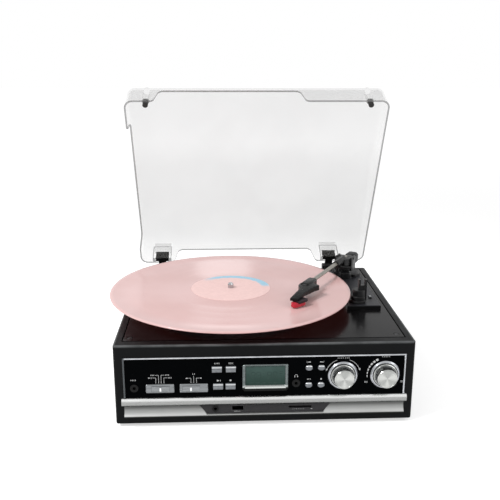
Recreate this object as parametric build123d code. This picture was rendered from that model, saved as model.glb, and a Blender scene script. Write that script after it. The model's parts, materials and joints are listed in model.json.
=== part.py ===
from build123d import *
import os
from math import acos, cos, degrees, radians, sin, sqrt, tan

# A turntable with radio: a black cabinet with a front panel of controls, a belt driven platter with a
# 12 inch record on it, a straight tonearm on a raised plate, and a clear lid that stands open.
# Lengths are in millimetres. While the pieces are made, X = 0 is the middle of the cabinet, Y = 0 is
# its front face and Z = 0 its underside. On saving, the whole model is set with its origin at the
# foot plane, under the middle of its own outline.

# Cabinet
CABINET_W = 330.0
CABINET_D = 281.0
CABINET_H = 93.0
WALL = 12.0
FRONT_WALL = 16.0
CORNER_R = 3.0
EDGE_R = 1.2
DECK_T = 3.0
DECK_LEDGE = 4.0
BASE_LEDGE = 7.0
DECK_GAP = 0.5
DECK_FRONT = 12.0
BASE_T = 3.0
FOOT_R = 10.0
FOOT_H = 4.0
FOOT_INSET = 28.0
SCREW_R = 3.0
SCREW_SHANK_R = 1.5
SCREW_HEAD_T = 1.4
SCREW_LEN = 9.0
SCREW_INSET_X = 16.5
SCREW_INSET_Y = 22.0

# Front panel: widths are full widths, heights are above the cabinet's underside
FASCIA_W = 310.0
FASCIA_TOP = 79.0
FRAME_W = 1.8
FRAME_REACH = 1.8
PANEL_BOTTOM = 31.5
PANEL_T = 3.0
PANEL_REACH = 0.3
REBATE_LIP = 1.0
PANEL_GAP = 0.3
STRIPE_W = 315.0
STRIPE_BOTTOM = 21.5
STRIPE_REACH = 4.0
BEZEL_BOTTOM = 9.3
BEZEL_REACH = 4.2
BEZEL_ROOT = 0.8
BEZEL_LIP = 1.2
BEZEL_HOLLOW = 0.5
PORT_BOTTOM = 11.2
PORT_TOP_W = 145.4
PORT_BOTTOM_W = 129.0
PORT_REACH = 1.0
PORT_GAP = 0.1

# Display
LCD_X = 0.0
LCD_Z = 55.9
LCD_W = 43.8
LCD_H = 22.8
LCD_SIDE = 3.2
LCD_TOP = 1.8
LCD_CHIN = 6.0
LCD_CORNER_R = 2.0
LCD_BEVEL = 0.7
LCD_BEZEL_T = 1.6
CHIN_REACH = 2.2
CHIN_LIP = 0.8
CHIN_INSET = 0.6
LCD_FIT = 0.2
LCD_MODULE_T = 3.2

# Buttons
BUTTON_W = 10.8
BUTTON_H = 7.0
BUTTON_REACH = 2.2
BUTTON_TRAVEL = 1.2
BUTTON_FIT = 0.2
BUTTON_FLANGE = 1.4
BUTTON_FLANGE_T = 1.3
BUTTON_STEM = 3.0
BUTTON_STEM_R = 1.5
OVAL_W = 8.0
OVAL_H = 6.4
KEYS = {
    "button_band": (-53.0, 64.3),
    "button_mode": (-37.8, 64.3),
    "button_play": (-51.8, 44.0),
    "button_record": (-38.2, 44.0),
}
OVALS = {
    "button_skip_back": (48.0, 64.2),
    "button_skip_next": (61.6, 64.2),
    "button_folder": (48.0, 43.8),
    "button_stop": (61.6, 43.8),
}

# Slide switches
POD_W = 31.0
POD_H = 10.4
POD_T = 1.6
POD_Z = 42.5
POD_X = {"function_slider": -115.2, "record_slider": -78.4}
SLIDER_X = {"function_slider": -114.6, "record_slider": -81.4}
SLOT_W = 12.0
SLOT_H = 4.4
SLIDER_W = 19.6
SLIDER_H = 6.4
SLIDER_T = 0.9
SLIDER_GAP = 0.15
SLIDER_FIT = 0.2
STEM_W = 4.0
STEM_LIP = 1.5
STEM_LIP_T = 1.0
RIDGE_W = 1.8
RIDGE_REACH = 1.0
SWITCH_W = 12.0
SWITCH_H = 7.0
SWITCH_T = 4.5

# Knobs
KNOBS = {"tuning_knob": (85.6, 54.3), "volume_knob": (132.5, 54.3)}
KNOB_SKIRT_R = 13.2
KNOB_FACE_R = 11.0
KNOB_REACH = 12.5
KNOB_GAP = 0.5
COLLAR_R = 16.5
COLLAR_BORE_R = 13.8
COLLAR_T = 2.0
SHAFT_R = 3.0
SHAFT_FIT = 0.05
CONTROL_W = 17.0

# Jacks and sockets
JACK_BORE_R = 1.8
JACK_R = 3.2
JACK_NUT_R = 4.5
REMOTE_NUT_R = 3.7
JACK_NUT_T = 0.8
JACK_LEN = 12.0
JACKS = {"line_in": (-143.3, 43.2), "phones": (34.0, 46.0), "remote": (-55.1, 17.2)}
USB_X = -30.4
USB_Z = 17.6
USB_W = 12.4
USB_H = 5.2
USB_WALL = 0.5
USB_LEN = 14.0
USB_TONGUE_T = 1.8
USB_TONGUE_BACK = 4.6
USB_TONGUE_GAP = 0.9
CARD_X = 38.9
CARD_Z = 17.6
CARD_W = 25.4
CARD_H = 2.6
CARD_WALL = 0.8
CARD_LEN = 24.0
SOCKET_FIT = 0.2

# Boards
BOARD_T = 1.6
BOARD_BACK = 12.0
BOARD_W = 296.0
BOARD_POSTS = (-142.0, -66.0, 73.0)
MAIN_BOARD_W = 150.0
MAIN_BOARD_D = 90.0
MAIN_BOARD_GAP = 8.0
MAIN_BOARD_Y = 185.0
STANDOFF_H = 8.0
STANDOFF_R = 3.0
STANDOFF_INSET = 8.0
# The largest parts on the main board: x and y from its front left corner, width, depth and height
HEATSINK = (20.0, 12.0, 40.0, 12.0, 22.0)
TRANSFORMER = (95.0, 40.0, 30.0, 26.0, 12.0)
FIN_PITCH = 8.0
FIN_GAP = 4.0
FIN_ROOT = 2.0
CAPACITOR_PLACES = ((20.0, 62.0), (36.0, 62.0), (52.0, 62.0), (68.0, 62.0))
CAPACITOR_R = 5.0
CAPACITOR_H = 14.0

# Record, platter and drive
RECORD_X = -35.1
RECORD_Y = 142.4
RECORD_R = 150.8
RECORD_T = 1.8
RECORD_GROOVE_T = 1.2
RECORD_RIM = 4.5
RECORD_LAND_R = 52.0
LABEL_R = 50.0
LABEL_T = 0.2
HOLE_R = 3.65
SPINDLE_R = 3.6
SPINDLE_REACH = 7.0
RECORD_RISE = 17.2
MAT_R = 96.0
MAT_T = 2.4
MAT_HOLLOW = 0.6
MAT_HOLE_GAP = 0.4
PLATTER_R = 100.0
PLATTER_T = 3.0
PLATTER_SKIRT = 8.0
PLATTER_SKIRT_T = 3.0
DRUM_R = 78.0
DRUM_T = 2.5
DRUM_H = 16.0
HUB_R = 10.0
WELL_GAP = 3.0
WELL_DEPTH = 13.0
WELL_WALL = 2.5
BEARING_R = 8.0
BEARING_LEN = 22.0
BEARING_FLOOR = 2.0
BELT_T = 0.8
BELT_H = 5.0
BELT_FIT = 0.08
PULLEY_R = 5.0
PULLEY_X = -61.9
PULLEY_Y = 61.9
MOTOR_R = 18.0
MOTOR_H = 24.0
MOTOR_SHAFT_R = 1.0

# Tonearm. ARM_ANGLE is how far the arm is turned from the front towards the spindle. ARM_RISE is the
# height of the tube's middle above the record, and HEAD_GAP the air between record and headshell
ARM_X = 127.0
ARM_Y = 232.4
ARM_RISE = 12.3
ARM_ANGLE = 30.0
TUBE_R = 2.5
SLEEVE_R = 4.4
SLEEVE_START = 8.0
SLEEVE_END = 38.0
SLEEVE_TAPER = 0.3
HEAD_START = 120.0
HEAD_GAP = 7.8
HEAD_H = 6.4
HEAD_WALL = 1.4
HEAD_HOLLOW = 1.6
HEAD_SLOPE = 5.0
HEAD_SLOPE_START = 152.0
HEAD_LEFT = ((6.0, 128.0), (7.0, 144.0), (6.0, 150.0))
HEAD_NOSE = ((0.0, 158.0), (1.0, 190.0), (9.5, 188.0), (10.0, 167.0))
HEAD_LIFT = ((13.5, 145.0), (16.5, 138.0), (6.0, 133.0), (6.0, 128.0))
CLAMP_W = 12.0
CLAMP_END = 146.0
CLAMP_RISE = 3.9
CLAMP_R = 3.0
CLAMP_NOSE = 1.8
TUBE_OVERLAP = 8.0
TUBE_END = 4.0
STYLUS_REACH = 188.6
STYLUS_SIDE = 6.9
CARTRIDGE_TURN = 17.0
STYLUS_GAP = 0.1
PLATE_RISE = 5.0
PLATE_FRONT = 102.0
PLATE_RIGHT = 149.0
PLATE_LEFT = 98.0
PLATE_BACK_INSET = 29.0
PLATE_ARC_R = 148.0
ARM_BASE_LEFT = 112.0
ARM_BASE_RIGHT = 131.5
ARM_BASE_FRONT = 210.0
ARM_BASE_BACK = 247.0
ARM_BASE_H = 8.0
YOKE_R = 12.5
YOKE_GAP = 0.5
YOKE_T = 2.5
CHEEK_T = 2.5
CHEEK_W = 16.0
BLOCK_W = 19.0
BLOCK_FRONT = 18.0
BLOCK_TIP = 19.0
BLOCK_TIP_W = 10.0
BLOCK_SHOULDER = 10.0
BLOCK_BACK = 12.0
BLOCK_BACK_LOW = 11.0
BLOCK_BACK_HIGH = 8.0
BLOCK_DROP = 7.5
BLOCK_LIFT = 1.4
BLOCK_STEP = 1.0
STUB_W = 10.0
STUB_H = 6.0
STUB_START = 11.0
STUB_END = 26.0
WEIGHT_W = 16.0
WEIGHT_START = 19.0
WEIGHT_END = 34.0
WEIGHT_DROP = 15.0
WEIGHT_LIFT = 0.6
BLOCK_FIT = 0.3
PIVOT_R = 3.0
ROCK_R = 1.5
LIFT_R = 30.0
LIFT_W = 4.0
LIFT_T = 2.0
LIFT_GAP = 0.3
LIFT_POST_R = 2.2
LIFT_POST_ANGLE = 30.0
LIFT_FIRST = -6.0
LIFT_LAST = 51.0
CARTRIDGE_GAP = 4.8
REST_X = 122.5
REST_Y = 117.0
REST_STEPS = ((10.3, 0.0, 3.2), (8.8, 1.0, 8.0), (7.8, 2.0, 16.0))
FORK_X = 128.5
FORK_Y = 118.5
FORK_W = 10.0
FORK_D = 6.0
FORK_SLOT = 5.6
FORK_RISE = 4.5
LEVER_X = 137.5
LEVER_Y = 220.5
LEVER_LEN = 13.0
LEVER_ANGLE = 40.0
SPEED_X = 141.6
SPEED_Y = 132.3

# Lid. It is drawn shut and then turned up by LID_OPEN about the hinge line
LID_W = 327.2
LID_L = 268.0
LID_H = 36.0
LID_T = 2.2
LID_RIM_RISE = 1.0
LID_DRAFT = 2.3
LID_CORNER_R = 11.0
LID_EDGE_R = 5.0
LID_OPEN = 63.4
HINGE_BEHIND = 9.2
HINGE_RISE = 0.6
NOTCH_DEPTH = 26.0
NOTCH_SLANT = 6.0
NOTCH_R = 8.0
NOTCH_RIM_R = 5.0
FRONT_NOTCH = (-125.0, 56.6)
BACK_NOTCH = (-112.0, 90.0)
SIDE_NOTCH = (57.5, 251.0)
HINGE_X = (-132.5, 113.0)
POCKET_W = 27.0
POCKET_D = 7.2
POCKET_T = 1.4
ARM_SLOT_H = 5.0
LEAF_W = 18.5
LEAF_H = 14.0
LEAF_FIT = 0.2
KNUCKLE_R = 4.0
KNUCKLE_W = 11.0
EAR_W = 4.0
EAR_GAP = 0.3
PIN_R = 1.5
BRACKET_T = 2.5
BRACKET_DROP = 35.0
BRACKET_SCREW_DROPS = (28.0, 16.0)
PIN_FIT = 0.05
BUMPER_INSETS = {-1: 26.2, 1: 23.6}
BUMPER_R = 3.4
BUMPER_H = 8.0

# Rear connectors
REAR_X = -70.0
REAR_Z = 40.0
REAR_W = 84.0
REAR_H = 34.0
REAR_T = 2.0
REAR_LIP = 5.0
RCA_R = 4.6
RCA_LEN = 9.0
RCA_PITCH = 18.0
RCA_INSET = 22.0
RCA_DEPTH = 10.0
RCA_PIN_R = 1.6
INLET_R = 4.6
INLET_BORE_R = 2.75
INLET_INSET = 16.0
INLET_DEPTH = 11.0
INLET_RIM = 1.2
INLET_PIN_R = 0.9

# Levels and places worked out from the sizes above
deck_top = CABINET_H
fascia_back = PANEL_T - PANEL_REACH
plate_top = CABINET_H + PLATE_RISE
plate_back = CABINET_D - PLATE_BACK_INSET
record_top = CABINET_H + RECORD_RISE
record_bottom = record_top - LABEL_T - RECORD_T
mat_bottom = record_bottom - MAT_T
platter_bottom = mat_bottom - PLATTER_T
well_floor = CABINET_H - WELL_DEPTH
arm_z = record_top + ARM_RISE
head_low = record_top + HEAD_GAP
head_high = head_low + HEAD_H
clamp_top = arm_z + CLAMP_RISE
fork_top = arm_z + FORK_RISE
hinge_z = CABINET_H + HINGE_RISE
lid_rim_z = CABINET_H + LID_RIM_RISE
bracket_low = CABINET_H - BRACKET_DROP
bracket_screw_zs = [CABINET_H - drop for drop in BRACKET_SCREW_DROPS]
hinge_y = CABINET_D + HINGE_BEHIND
lid_front = CABINET_D - LID_L
lid_top = lid_rim_z + LID_H
board_y = BOARD_BACK
inlet_x = REAR_X + REAR_W / 2 - INLET_INSET


def box(x0, x1, y0, y1, z0, z1):
    """A box between two corners."""
    return Pos((x0 + x1) / 2, (y0 + y1) / 2, (z0 + z1) / 2) * Box(x1 - x0, y1 - y0, z1 - z0)


def rod(r, x, y, z0, z1):
    """An upright cylinder."""
    return Pos(x, y, (z0 + z1) / 2) * Cylinder(r, z1 - z0)


def rod_y(r, x, z, y0, y1):
    """A cylinder that runs front to back."""
    return Pos(x, (y0 + y1) / 2, z) * Rot(90, 0, 0) * Cylinder(r, y1 - y0)


def rod_x(r, y, z, x0, x1):
    """A cylinder that runs left to right."""
    return Pos((x0 + x1) / 2, y, z) * Rot(0, 90, 0) * Cylinder(r, x1 - x0)


def front_slab(sketch, y0, y1):
    """A flat shape drawn on the front (x, z), made solid from y0 back to y1."""
    return Pos(0, y1, 0) * extrude(Plane.XZ * sketch, y1 - y0)


def spun(points, x, y):
    """A solid turned about the upright line at x, y from (radius, height) points."""
    profile = make_face(Polyline(*points, close=True))
    return Pos(x, y, 0) * revolve(Plane.XZ * profile, Axis.Z)


def spun_front(points, x, z):
    """A solid turned about a front to back line at x, z from (radius, depth) points."""
    profile = make_face(Polyline(*points, close=True))
    return Pos(x, 0, z) * revolve(profile, Axis.Y)


def group(pieces):
    """Separate solids of one node."""
    return Compound(children=[piece if isinstance(piece, Solid) else piece.solid() for piece in pieces])


# Cabinet and base
inner_x = CABINET_W / 2 - WALL
inner_back = CABINET_D - WALL
ledge_z = CABINET_H - DECK_T
deck_x = inner_x + DECK_LEDGE
deck_back = inner_back + DECK_LEDGE
base_x = inner_x + BASE_LEDGE
base_front = FRONT_WALL - BASE_LEDGE
base_back = inner_back + BASE_LEDGE
panel_x = FASCIA_W / 2 - REBATE_LIP
panel_top = FASCIA_TOP - REBATE_LIP
window_x = panel_x - 5.0
window_bottom = BEZEL_BOTTOM + 4.0
window_top = panel_top - 3.0
foot_x = CABINET_W / 2 - FOOT_INSET
main_board_x = inner_x - MAIN_BOARD_GAP - MAIN_BOARD_W / 2
foot_ys = (FOOT_INSET, CABINET_D - FOOT_INSET)


def cabinet():
    body = box(-CABINET_W / 2, CABINET_W / 2, 0, CABINET_D, 0, CABINET_H)
    body = fillet(body.edges().filter_by(Axis.Z), CORNER_R)
    body = fillet(body.faces().sort_by(Axis.Z)[-1].edges(), EDGE_R)
    body = fillet(body.faces().sort_by(Axis.Z)[0].edges(), EDGE_R)
    body -= box(-inner_x, inner_x, FRONT_WALL, inner_back, -1, CABINET_H + 1)
    body -= box(-deck_x, deck_x, DECK_FRONT, deck_back, ledge_z, CABINET_H + 1)
    body -= box(-base_x, base_x, base_front, base_back, -1, BASE_T)
    for x, y in deck_screw_places():
        x0, x1 = sorted((x - 6, inner_x + 1)) if x > 0 else (-inner_x - 1, x + 6)
        y0, y1 = (FRONT_WALL - 1, y + 6) if y < 100 else (y - 6, inner_back + 1)
        body += box(x0, x1, y0, y1, BASE_T, ledge_z)
    body -= box(-panel_x, panel_x, -1, PANEL_T, BEZEL_BOTTOM + REBATE_LIP, panel_top)
    body -= box(-window_x, window_x, -1, FRONT_WALL + 1, window_bottom, window_top)
    half_w = REAR_W / 2 - REAR_LIP
    half_h = REAR_H / 2 - REAR_LIP
    window = box(-half_w, half_w, inner_back - 1, CABINET_D + 1, -half_h, half_h)
    return body - Pos(REAR_X, 0, REAR_Z) * window


def base_panel():
    gap = DECK_GAP
    panel = box(-base_x + gap, base_x - gap, base_front + gap, base_back - gap, 0, BASE_T)
    slot = SlotOverall(40, 4)
    for row in range(6):
        panel -= Pos(main_board_x, MAIN_BOARD_Y - 25 + 10 * row, -1) * extrude(slot, BASE_T + 2)
    for x, y in base_screw_places():
        panel -= rod(SCREW_SHANK_R + 0.2, x, y, -1, BASE_T + 1)
    return panel


def base_screw_places():
    half = BASE_LEDGE / 2
    ys = (base_front + half, CABINET_D / 2, base_back - half)
    return [(side * (base_x - half), y) for side in (-1, 1) for y in ys]


def screw():
    """A pan head screw with a slot, its head above Z = 0 and its shank below."""
    head = rod(SCREW_R, 0, 0, 0, SCREW_HEAD_T)
    head = chamfer(head.edges().sort_by(Axis.Z)[-1], 0.5)
    head -= box(-2, 2, -0.4, 0.4, SCREW_HEAD_T - 0.6, SCREW_HEAD_T + 1)
    return head + rod(SCREW_SHANK_R, 0, 0, -SCREW_LEN, 0)


def feet():
    foot = spun([(0, -FOOT_H), (FOOT_R - 1.0, -FOOT_H), (FOOT_R, -FOOT_H + 1.0), (FOOT_R, 0), (0, 0)], 0, 0)
    return group([Pos(x, y, 0) * foot for x in (-foot_x, foot_x) for y in foot_ys])


# Deck with the well for the platter
bearing_top = well_floor - WELL_WALL
motor_x = RECORD_X + PULLEY_X
motor_y = RECORD_Y + PULLEY_Y


def deck():
    side = deck_x - DECK_GAP
    plate = box(-side, side, DECK_FRONT + DECK_GAP, deck_back - DECK_GAP, ledge_z, CABINET_H)
    well_r = PLATTER_R + WELL_GAP
    plate += rod(well_r + WELL_WALL, RECORD_X, RECORD_Y, well_floor - WELL_WALL, ledge_z)
    plate -= rod(well_r, RECORD_X, RECORD_Y, well_floor, CABINET_H + 1)
    plate -= rod(BEARING_R, RECORD_X, RECORD_Y, 0, CABINET_H)
    plate -= rod(PULLEY_R + 2, motor_x, motor_y, 0, CABINET_H)
    plate -= rod(PIVOT_R + 2, ARM_X, ARM_Y, 0, CABINET_H + 1)
    for x, y in deck_screw_places():
        plate -= rod(SCREW_R + 0.3, x, y, CABINET_H - SCREW_HEAD_T, CABINET_H + 1)
        plate -= rod(SCREW_SHANK_R, x, y, 0, CABINET_H)
    return plate


def deck_screw_places():
    x = CABINET_W / 2 - SCREW_INSET_X
    return [(side * x, y) for side in (-1, 1) for y in (SCREW_INSET_Y, CABINET_D - SCREW_INSET_Y)]


def case_screws():
    """The screws of the deck, the base panel and the hinge brackets, all alike."""
    places = [Pos(x, y, CABINET_H - SCREW_HEAD_T) for x, y in deck_screw_places()]
    places += [Pos(x, y, 0) * Rot(180, 0, 0) for x, y in base_screw_places()]
    places += [Pos(x, CABINET_D + BRACKET_T, z) * Rot(-90, 0, 0) for x, z in bracket_screw_places()]
    return group([place * screw() for place in places])


def with_case_holes(body):
    for x, y in base_screw_places():
        body -= rod(SCREW_SHANK_R, x, y, 0, SCREW_LEN)
    for x, y in deck_screw_places():
        body -= rod(SCREW_SHANK_R, x, y, CABINET_H - SCREW_HEAD_T - SCREW_LEN, CABINET_H)
    return body


# Front panel
def holes_in_front(body, y0, y1):
    """Cuts every opening of the controls through a front piece."""
    for x, z in KEYS.values():
        w = BUTTON_W / 2 + BUTTON_FIT
        h = BUTTON_H / 2 + BUTTON_FIT
        body -= box(x - w, x + w, y0, y1, z - h, z + h)
    oval = SlotOverall(OVAL_W + 2 * BUTTON_FIT, OVAL_H + 2 * BUTTON_FIT)
    for x, z in OVALS.values():
        body -= front_slab(Pos(x, z) * oval, y0, y1)
    for x in POD_X.values():
        body -= box(x - SLOT_W / 2, x + SLOT_W / 2, y0, y1, POD_Z - SLOT_H / 2, POD_Z + SLOT_H / 2)
    for x, z in KNOBS.values():
        body -= rod_y(SHAFT_R + 1.0, x, z, y0, y1)
    for name in ("line_in", "phones"):
        body -= rod_y(JACK_R, *JACKS[name], y0, y1)
    body -= box(LCD_X - LCD_W / 2, LCD_X + LCD_W / 2, y0, y1, LCD_Z - LCD_H / 2, LCD_Z + LCD_H / 2)
    return body


def fascia():
    side = panel_x - PANEL_GAP
    plate = box(-side, side, -PANEL_REACH, fascia_back, PANEL_BOTTOM, panel_top - PANEL_GAP)
    plate = holes_in_front(plate, -5, 10)
    for x in BOARD_POSTS:
        plate += rod_y(3.0, x, panel_top - 6.0, fascia_back, board_y)
        plate += rod_y(3.0, x, PANEL_BOTTOM + 4.0, fascia_back, board_y)
    return plate


def fascia_frame():
    outer = Rectangle(FASCIA_W, FASCIA_TOP - PANEL_BOTTOM)
    inner = Pos(0, -FRAME_W) * Rectangle(FASCIA_W - 2 * FRAME_W, FASCIA_TOP - PANEL_BOTTOM)
    ring = Pos(0, (FASCIA_TOP + PANEL_BOTTOM) / 2) * (outer - inner)
    frame = front_slab(ring, -FRAME_REACH, -PANEL_REACH)
    front = frame.faces().sort_by(Axis.Y)[0]
    return chamfer(front.edges(), 0.5)


def trim_stripe():
    h = PANEL_BOTTOM - STRIPE_BOTTOM
    line = Line((0, STRIPE_BOTTOM), (0, PANEL_BOTTOM))
    bow = ThreePointArc((0, PANEL_BOTTOM), (-STRIPE_REACH, STRIPE_BOTTOM + h / 2), (0, STRIPE_BOTTOM))
    bar = Pos(-STRIPE_W / 2, 0, 0) * extrude(Plane.YZ * make_face(line + bow), STRIPE_W)
    key = box(-panel_x + PANEL_GAP, panel_x - PANEL_GAP, 0, fascia_back, STRIPE_BOTTOM, PANEL_BOTTOM)
    return bar + key


def port_outline(grow=0.0):
    """The trapezoid between the silver wings."""
    top = PORT_TOP_W / 2 + grow
    bottom = PORT_BOTTOM_W / 2 + grow
    low = PORT_BOTTOM - grow
    points = [(-bottom, low), (bottom, low), (top, STRIPE_BOTTOM), (-top, STRIPE_BOTTOM)]
    return make_face(Polyline(*points, close=True))


def lower_bezel():
    """Silver moulding under the stripe: its face is hollow, and it comes forward to a lip."""
    lip_top = BEZEL_BOTTOM + BEZEL_LIP
    top = (-BEZEL_ROOT, STRIPE_BOTTOM)
    foot = (-BEZEL_REACH, BEZEL_BOTTOM)
    back = Polyline(top, (0, STRIPE_BOTTOM), (0, BEZEL_BOTTOM), foot)
    lip = Line(foot, (-BEZEL_REACH, lip_top))
    middle = (-BEZEL_ROOT - BEZEL_HOLLOW, lip_top + (STRIPE_BOTTOM - lip_top) / 3)
    cove = ThreePointArc((-BEZEL_REACH, lip_top), middle, top)
    bar = Pos(-FASCIA_W / 2, 0, 0) * extrude(Plane.YZ * make_face(back + lip + cove), FASCIA_W)
    side = panel_x - PANEL_GAP
    key = box(-side, side, 0, fascia_back, BEZEL_BOTTOM + REBATE_LIP + PANEL_GAP, STRIPE_BOTTOM)
    return bar + key - front_slab(port_outline(), -BEZEL_REACH - 1, PANEL_T + 1)


def port_panel():
    panel = front_slab(port_outline(-PORT_GAP), -PORT_REACH, fascia_back)
    w = USB_W / 2 + USB_WALL + SOCKET_FIT
    h = USB_H / 2 + USB_WALL + SOCKET_FIT
    panel -= box(USB_X - w, USB_X + w, -5, 5, USB_Z - h, USB_Z + h)
    panel -= box(CARD_X - CARD_W / 2, CARD_X + CARD_W / 2, -5, 5, CARD_Z - CARD_H / 2, CARD_Z + CARD_H / 2)
    panel -= rod_y(JACK_R, *JACKS["remote"], -5, 5)
    return panel


def lcd_bezel():
    """Silver frame of the display, bevelled outside and in, with a chin that swells to the front."""
    outer = RectangleRounded(LCD_W + 2 * LCD_SIDE, LCD_H + LCD_TOP + LCD_CHIN, LCD_CORNER_R)
    ring = Pos(0, (LCD_TOP - LCD_CHIN) / 2) * outer - RectangleRounded(LCD_W, LCD_H, LCD_BEVEL)
    bezel = front_slab(Pos(LCD_X, LCD_Z) * ring, -PANEL_REACH - LCD_BEZEL_T, -PANEL_REACH)
    bezel = chamfer(bezel.faces().sort_by(Axis.Y)[0].edges(), LCD_BEVEL)
    root = -PANEL_REACH - LCD_BEZEL_T + LCD_BEVEL
    reach = -PANEL_REACH - LCD_BEZEL_T - CHIN_REACH
    top = LCD_Z - LCD_H / 2 - 0.2
    low = LCD_Z - LCD_H / 2 - LCD_CHIN + CHIN_INSET
    slope = ThreePointArc((root, top), (reach + 0.5, (top + low) / 2 + 0.6), (reach, low + CHIN_LIP))
    under = Polyline((reach, low + CHIN_LIP), (reach, low), (root, low), (root, top))
    half_top = LCD_W / 2 - 0.2
    half_low = LCD_W / 2 + LCD_SIDE / 2
    corners = [(-half_low, low), (half_low, low), (half_top, top), (-half_top, top)]
    front = make_face(Polyline(*corners, close=True))
    chin = Pos(LCD_X - LCD_W, 0, 0) * extrude(Plane.YZ * make_face(slope + under), 2 * LCD_W)
    return bezel + (chin & front_slab(Pos(LCD_X, 0) * front, reach - 1, 0))


def lcd_window():
    w = LCD_W / 2 - LCD_FIT
    h = LCD_H / 2 - LCD_FIT
    return box(LCD_X - w, LCD_X + w, -PANEL_REACH - 0.8, 0.6, LCD_Z - h, LCD_Z + h)


def control_board():
    """Board behind the fascia with the push switches, the display and the bodies of the rotary controls."""
    board = box(-BOARD_W / 2, BOARD_W / 2, board_y, board_y + BOARD_T, PANEL_BOTTOM + 1.5, window_top - 0.5)
    button_back = fascia_back + 0.1 + BUTTON_FLANGE_T + BUTTON_STEM
    for x, z in list(KEYS.values()) + list(OVALS.values()):
        board += box(x - 3, x + 3, button_back + BUTTON_TRAVEL + 0.2, board_y, z - 3, z + 3)
    w = LCD_W / 2 + 2.0
    h = LCD_H / 2 + 1.0
    board += box(LCD_X - w, LCD_X + w, fascia_back + 0.2, fascia_back + LCD_MODULE_T, LCD_Z - h, LCD_Z + h)
    board += box(LCD_X - w + 2, LCD_X + w - 2, fascia_back + LCD_MODULE_T, board_y, LCD_Z - h, LCD_Z - h + 3)
    for x in POD_X.values():
        switch = Rectangle(SWITCH_W, SWITCH_H)
        board += front_slab(Pos(x, POD_Z) * switch, board_y - SWITCH_T, board_y)
    half = CONTROL_W / 2
    for x, z in KNOBS.values():
        board += box(x - half, x + half, fascia_back + 0.6, board_y, z - half, z + half)
        board -= rod_y(SHAFT_R + SHAFT_FIT, x, z, 0, board_y - 0.6)
    return board


def button_from(outline, width, height, x, z):
    """A button cap with the flange that keeps it in and the stem that presses its switch."""
    flange_front = fascia_back + 0.1
    flange_back = flange_front + BUTTON_FLANGE_T
    cap = front_slab(Pos(x, z) * outline(width, height), -PANEL_REACH - BUTTON_REACH, flange_front)
    cap = chamfer(cap.faces().sort_by(Axis.Y)[0].edges(), 0.5)
    flange = outline(width + BUTTON_FLANGE, height + BUTTON_FLANGE)
    cap += front_slab(Pos(x, z) * flange, flange_front, flange_back)
    return cap + rod_y(BUTTON_STEM_R, x, z, flange_back, flange_back + BUTTON_STEM)


def key_button(x, z):
    return button_from(Rectangle, BUTTON_W, BUTTON_H, x, z)


def oval_button(x, z):
    return button_from(SlotOverall, OVAL_W, OVAL_H, x, z)


def switch_bezels():
    pods = []
    for x in POD_X.values():
        face = RectangleRounded(POD_W, POD_H, 1.6) - Rectangle(SLOT_W, SLOT_H)
        pod = front_slab(Pos(x, POD_Z) * face, -PANEL_REACH - POD_T, -PANEL_REACH)
        pods.append(chamfer(pod.faces().sort_by(Axis.Y)[0].outer_wire().edges(), 0.5))
    return group(pods)


def slider(x):
    """A switch slider: a cap that always covers the slot, a ridge to push, and a stem held in by its lip."""
    place = Pos(x, POD_Z)
    back = -PANEL_REACH - POD_T - SLIDER_GAP
    front = back - SLIDER_T
    lip = fascia_back + SLIDER_GAP
    stem_h = SLOT_H - 2 * SLIDER_FIT
    cap = front_slab(place * Rectangle(SLIDER_W, SLIDER_H), front, back)
    cap = chamfer(cap.faces().sort_by(Axis.Y)[0].edges(), SLIDER_T / 2)
    cap += front_slab(place * Rectangle(RIDGE_W, stem_h), front - RIDGE_REACH, front)
    cap += front_slab(place * Rectangle(STEM_W, stem_h), back, board_y - SWITCH_T - SLIDER_GAP)
    return cap + front_slab(place * Rectangle(STEM_W, SLOT_H + 2 * STEM_LIP), lip, lip + STEM_LIP_T)


def knob(x, z):
    """A turned knob: skirt, tapered side, dished face, and the shaft behind it."""
    back = -PANEL_REACH - KNOB_GAP
    face = -KNOB_REACH
    points = [
        (0, face + 0.4),
        (KNOB_FACE_R - 1.6, face + 0.4),
        (KNOB_FACE_R - 1.2, face),
        (KNOB_FACE_R - 0.5, face),
        (KNOB_FACE_R, face + 0.6),
        (KNOB_SKIRT_R - 0.8, back - 2.6),
        (KNOB_SKIRT_R, back - 2.0),
        (KNOB_SKIRT_R, back),
        (SHAFT_R, back),
        (SHAFT_R, board_y - 1.0),
        (0, board_y - 1.0),
    ]
    return spun_front(points, x, z)


def knob_collars():
    front = -PANEL_REACH - COLLAR_T
    points = [
        (COLLAR_BORE_R, -PANEL_REACH),
        (COLLAR_BORE_R, front + 0.4),
        (COLLAR_BORE_R + 0.5, front),
        (COLLAR_R - 1.2, front),
        (COLLAR_R, front + 1.2),
        (COLLAR_R, -PANEL_REACH),
    ]
    return group([spun_front(points, x, z) for x, z in KNOBS.values()])


def audio_jacks():
    jacks = []
    for name, (x, z) in JACKS.items():
        front = -PORT_REACH if name == "remote" else -PANEL_REACH
        jack = rod_y(JACK_R, x, z, front, front + JACK_LEN)
        nut_r = REMOTE_NUT_R if name == "remote" else JACK_NUT_R
        jack += rod_y(nut_r, x, z, front - JACK_NUT_T, front)
        jacks.append(jack - rod_y(JACK_BORE_R, x, z, front - JACK_NUT_T - 1, front + JACK_LEN - 1.5))
    return group(jacks)


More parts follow.
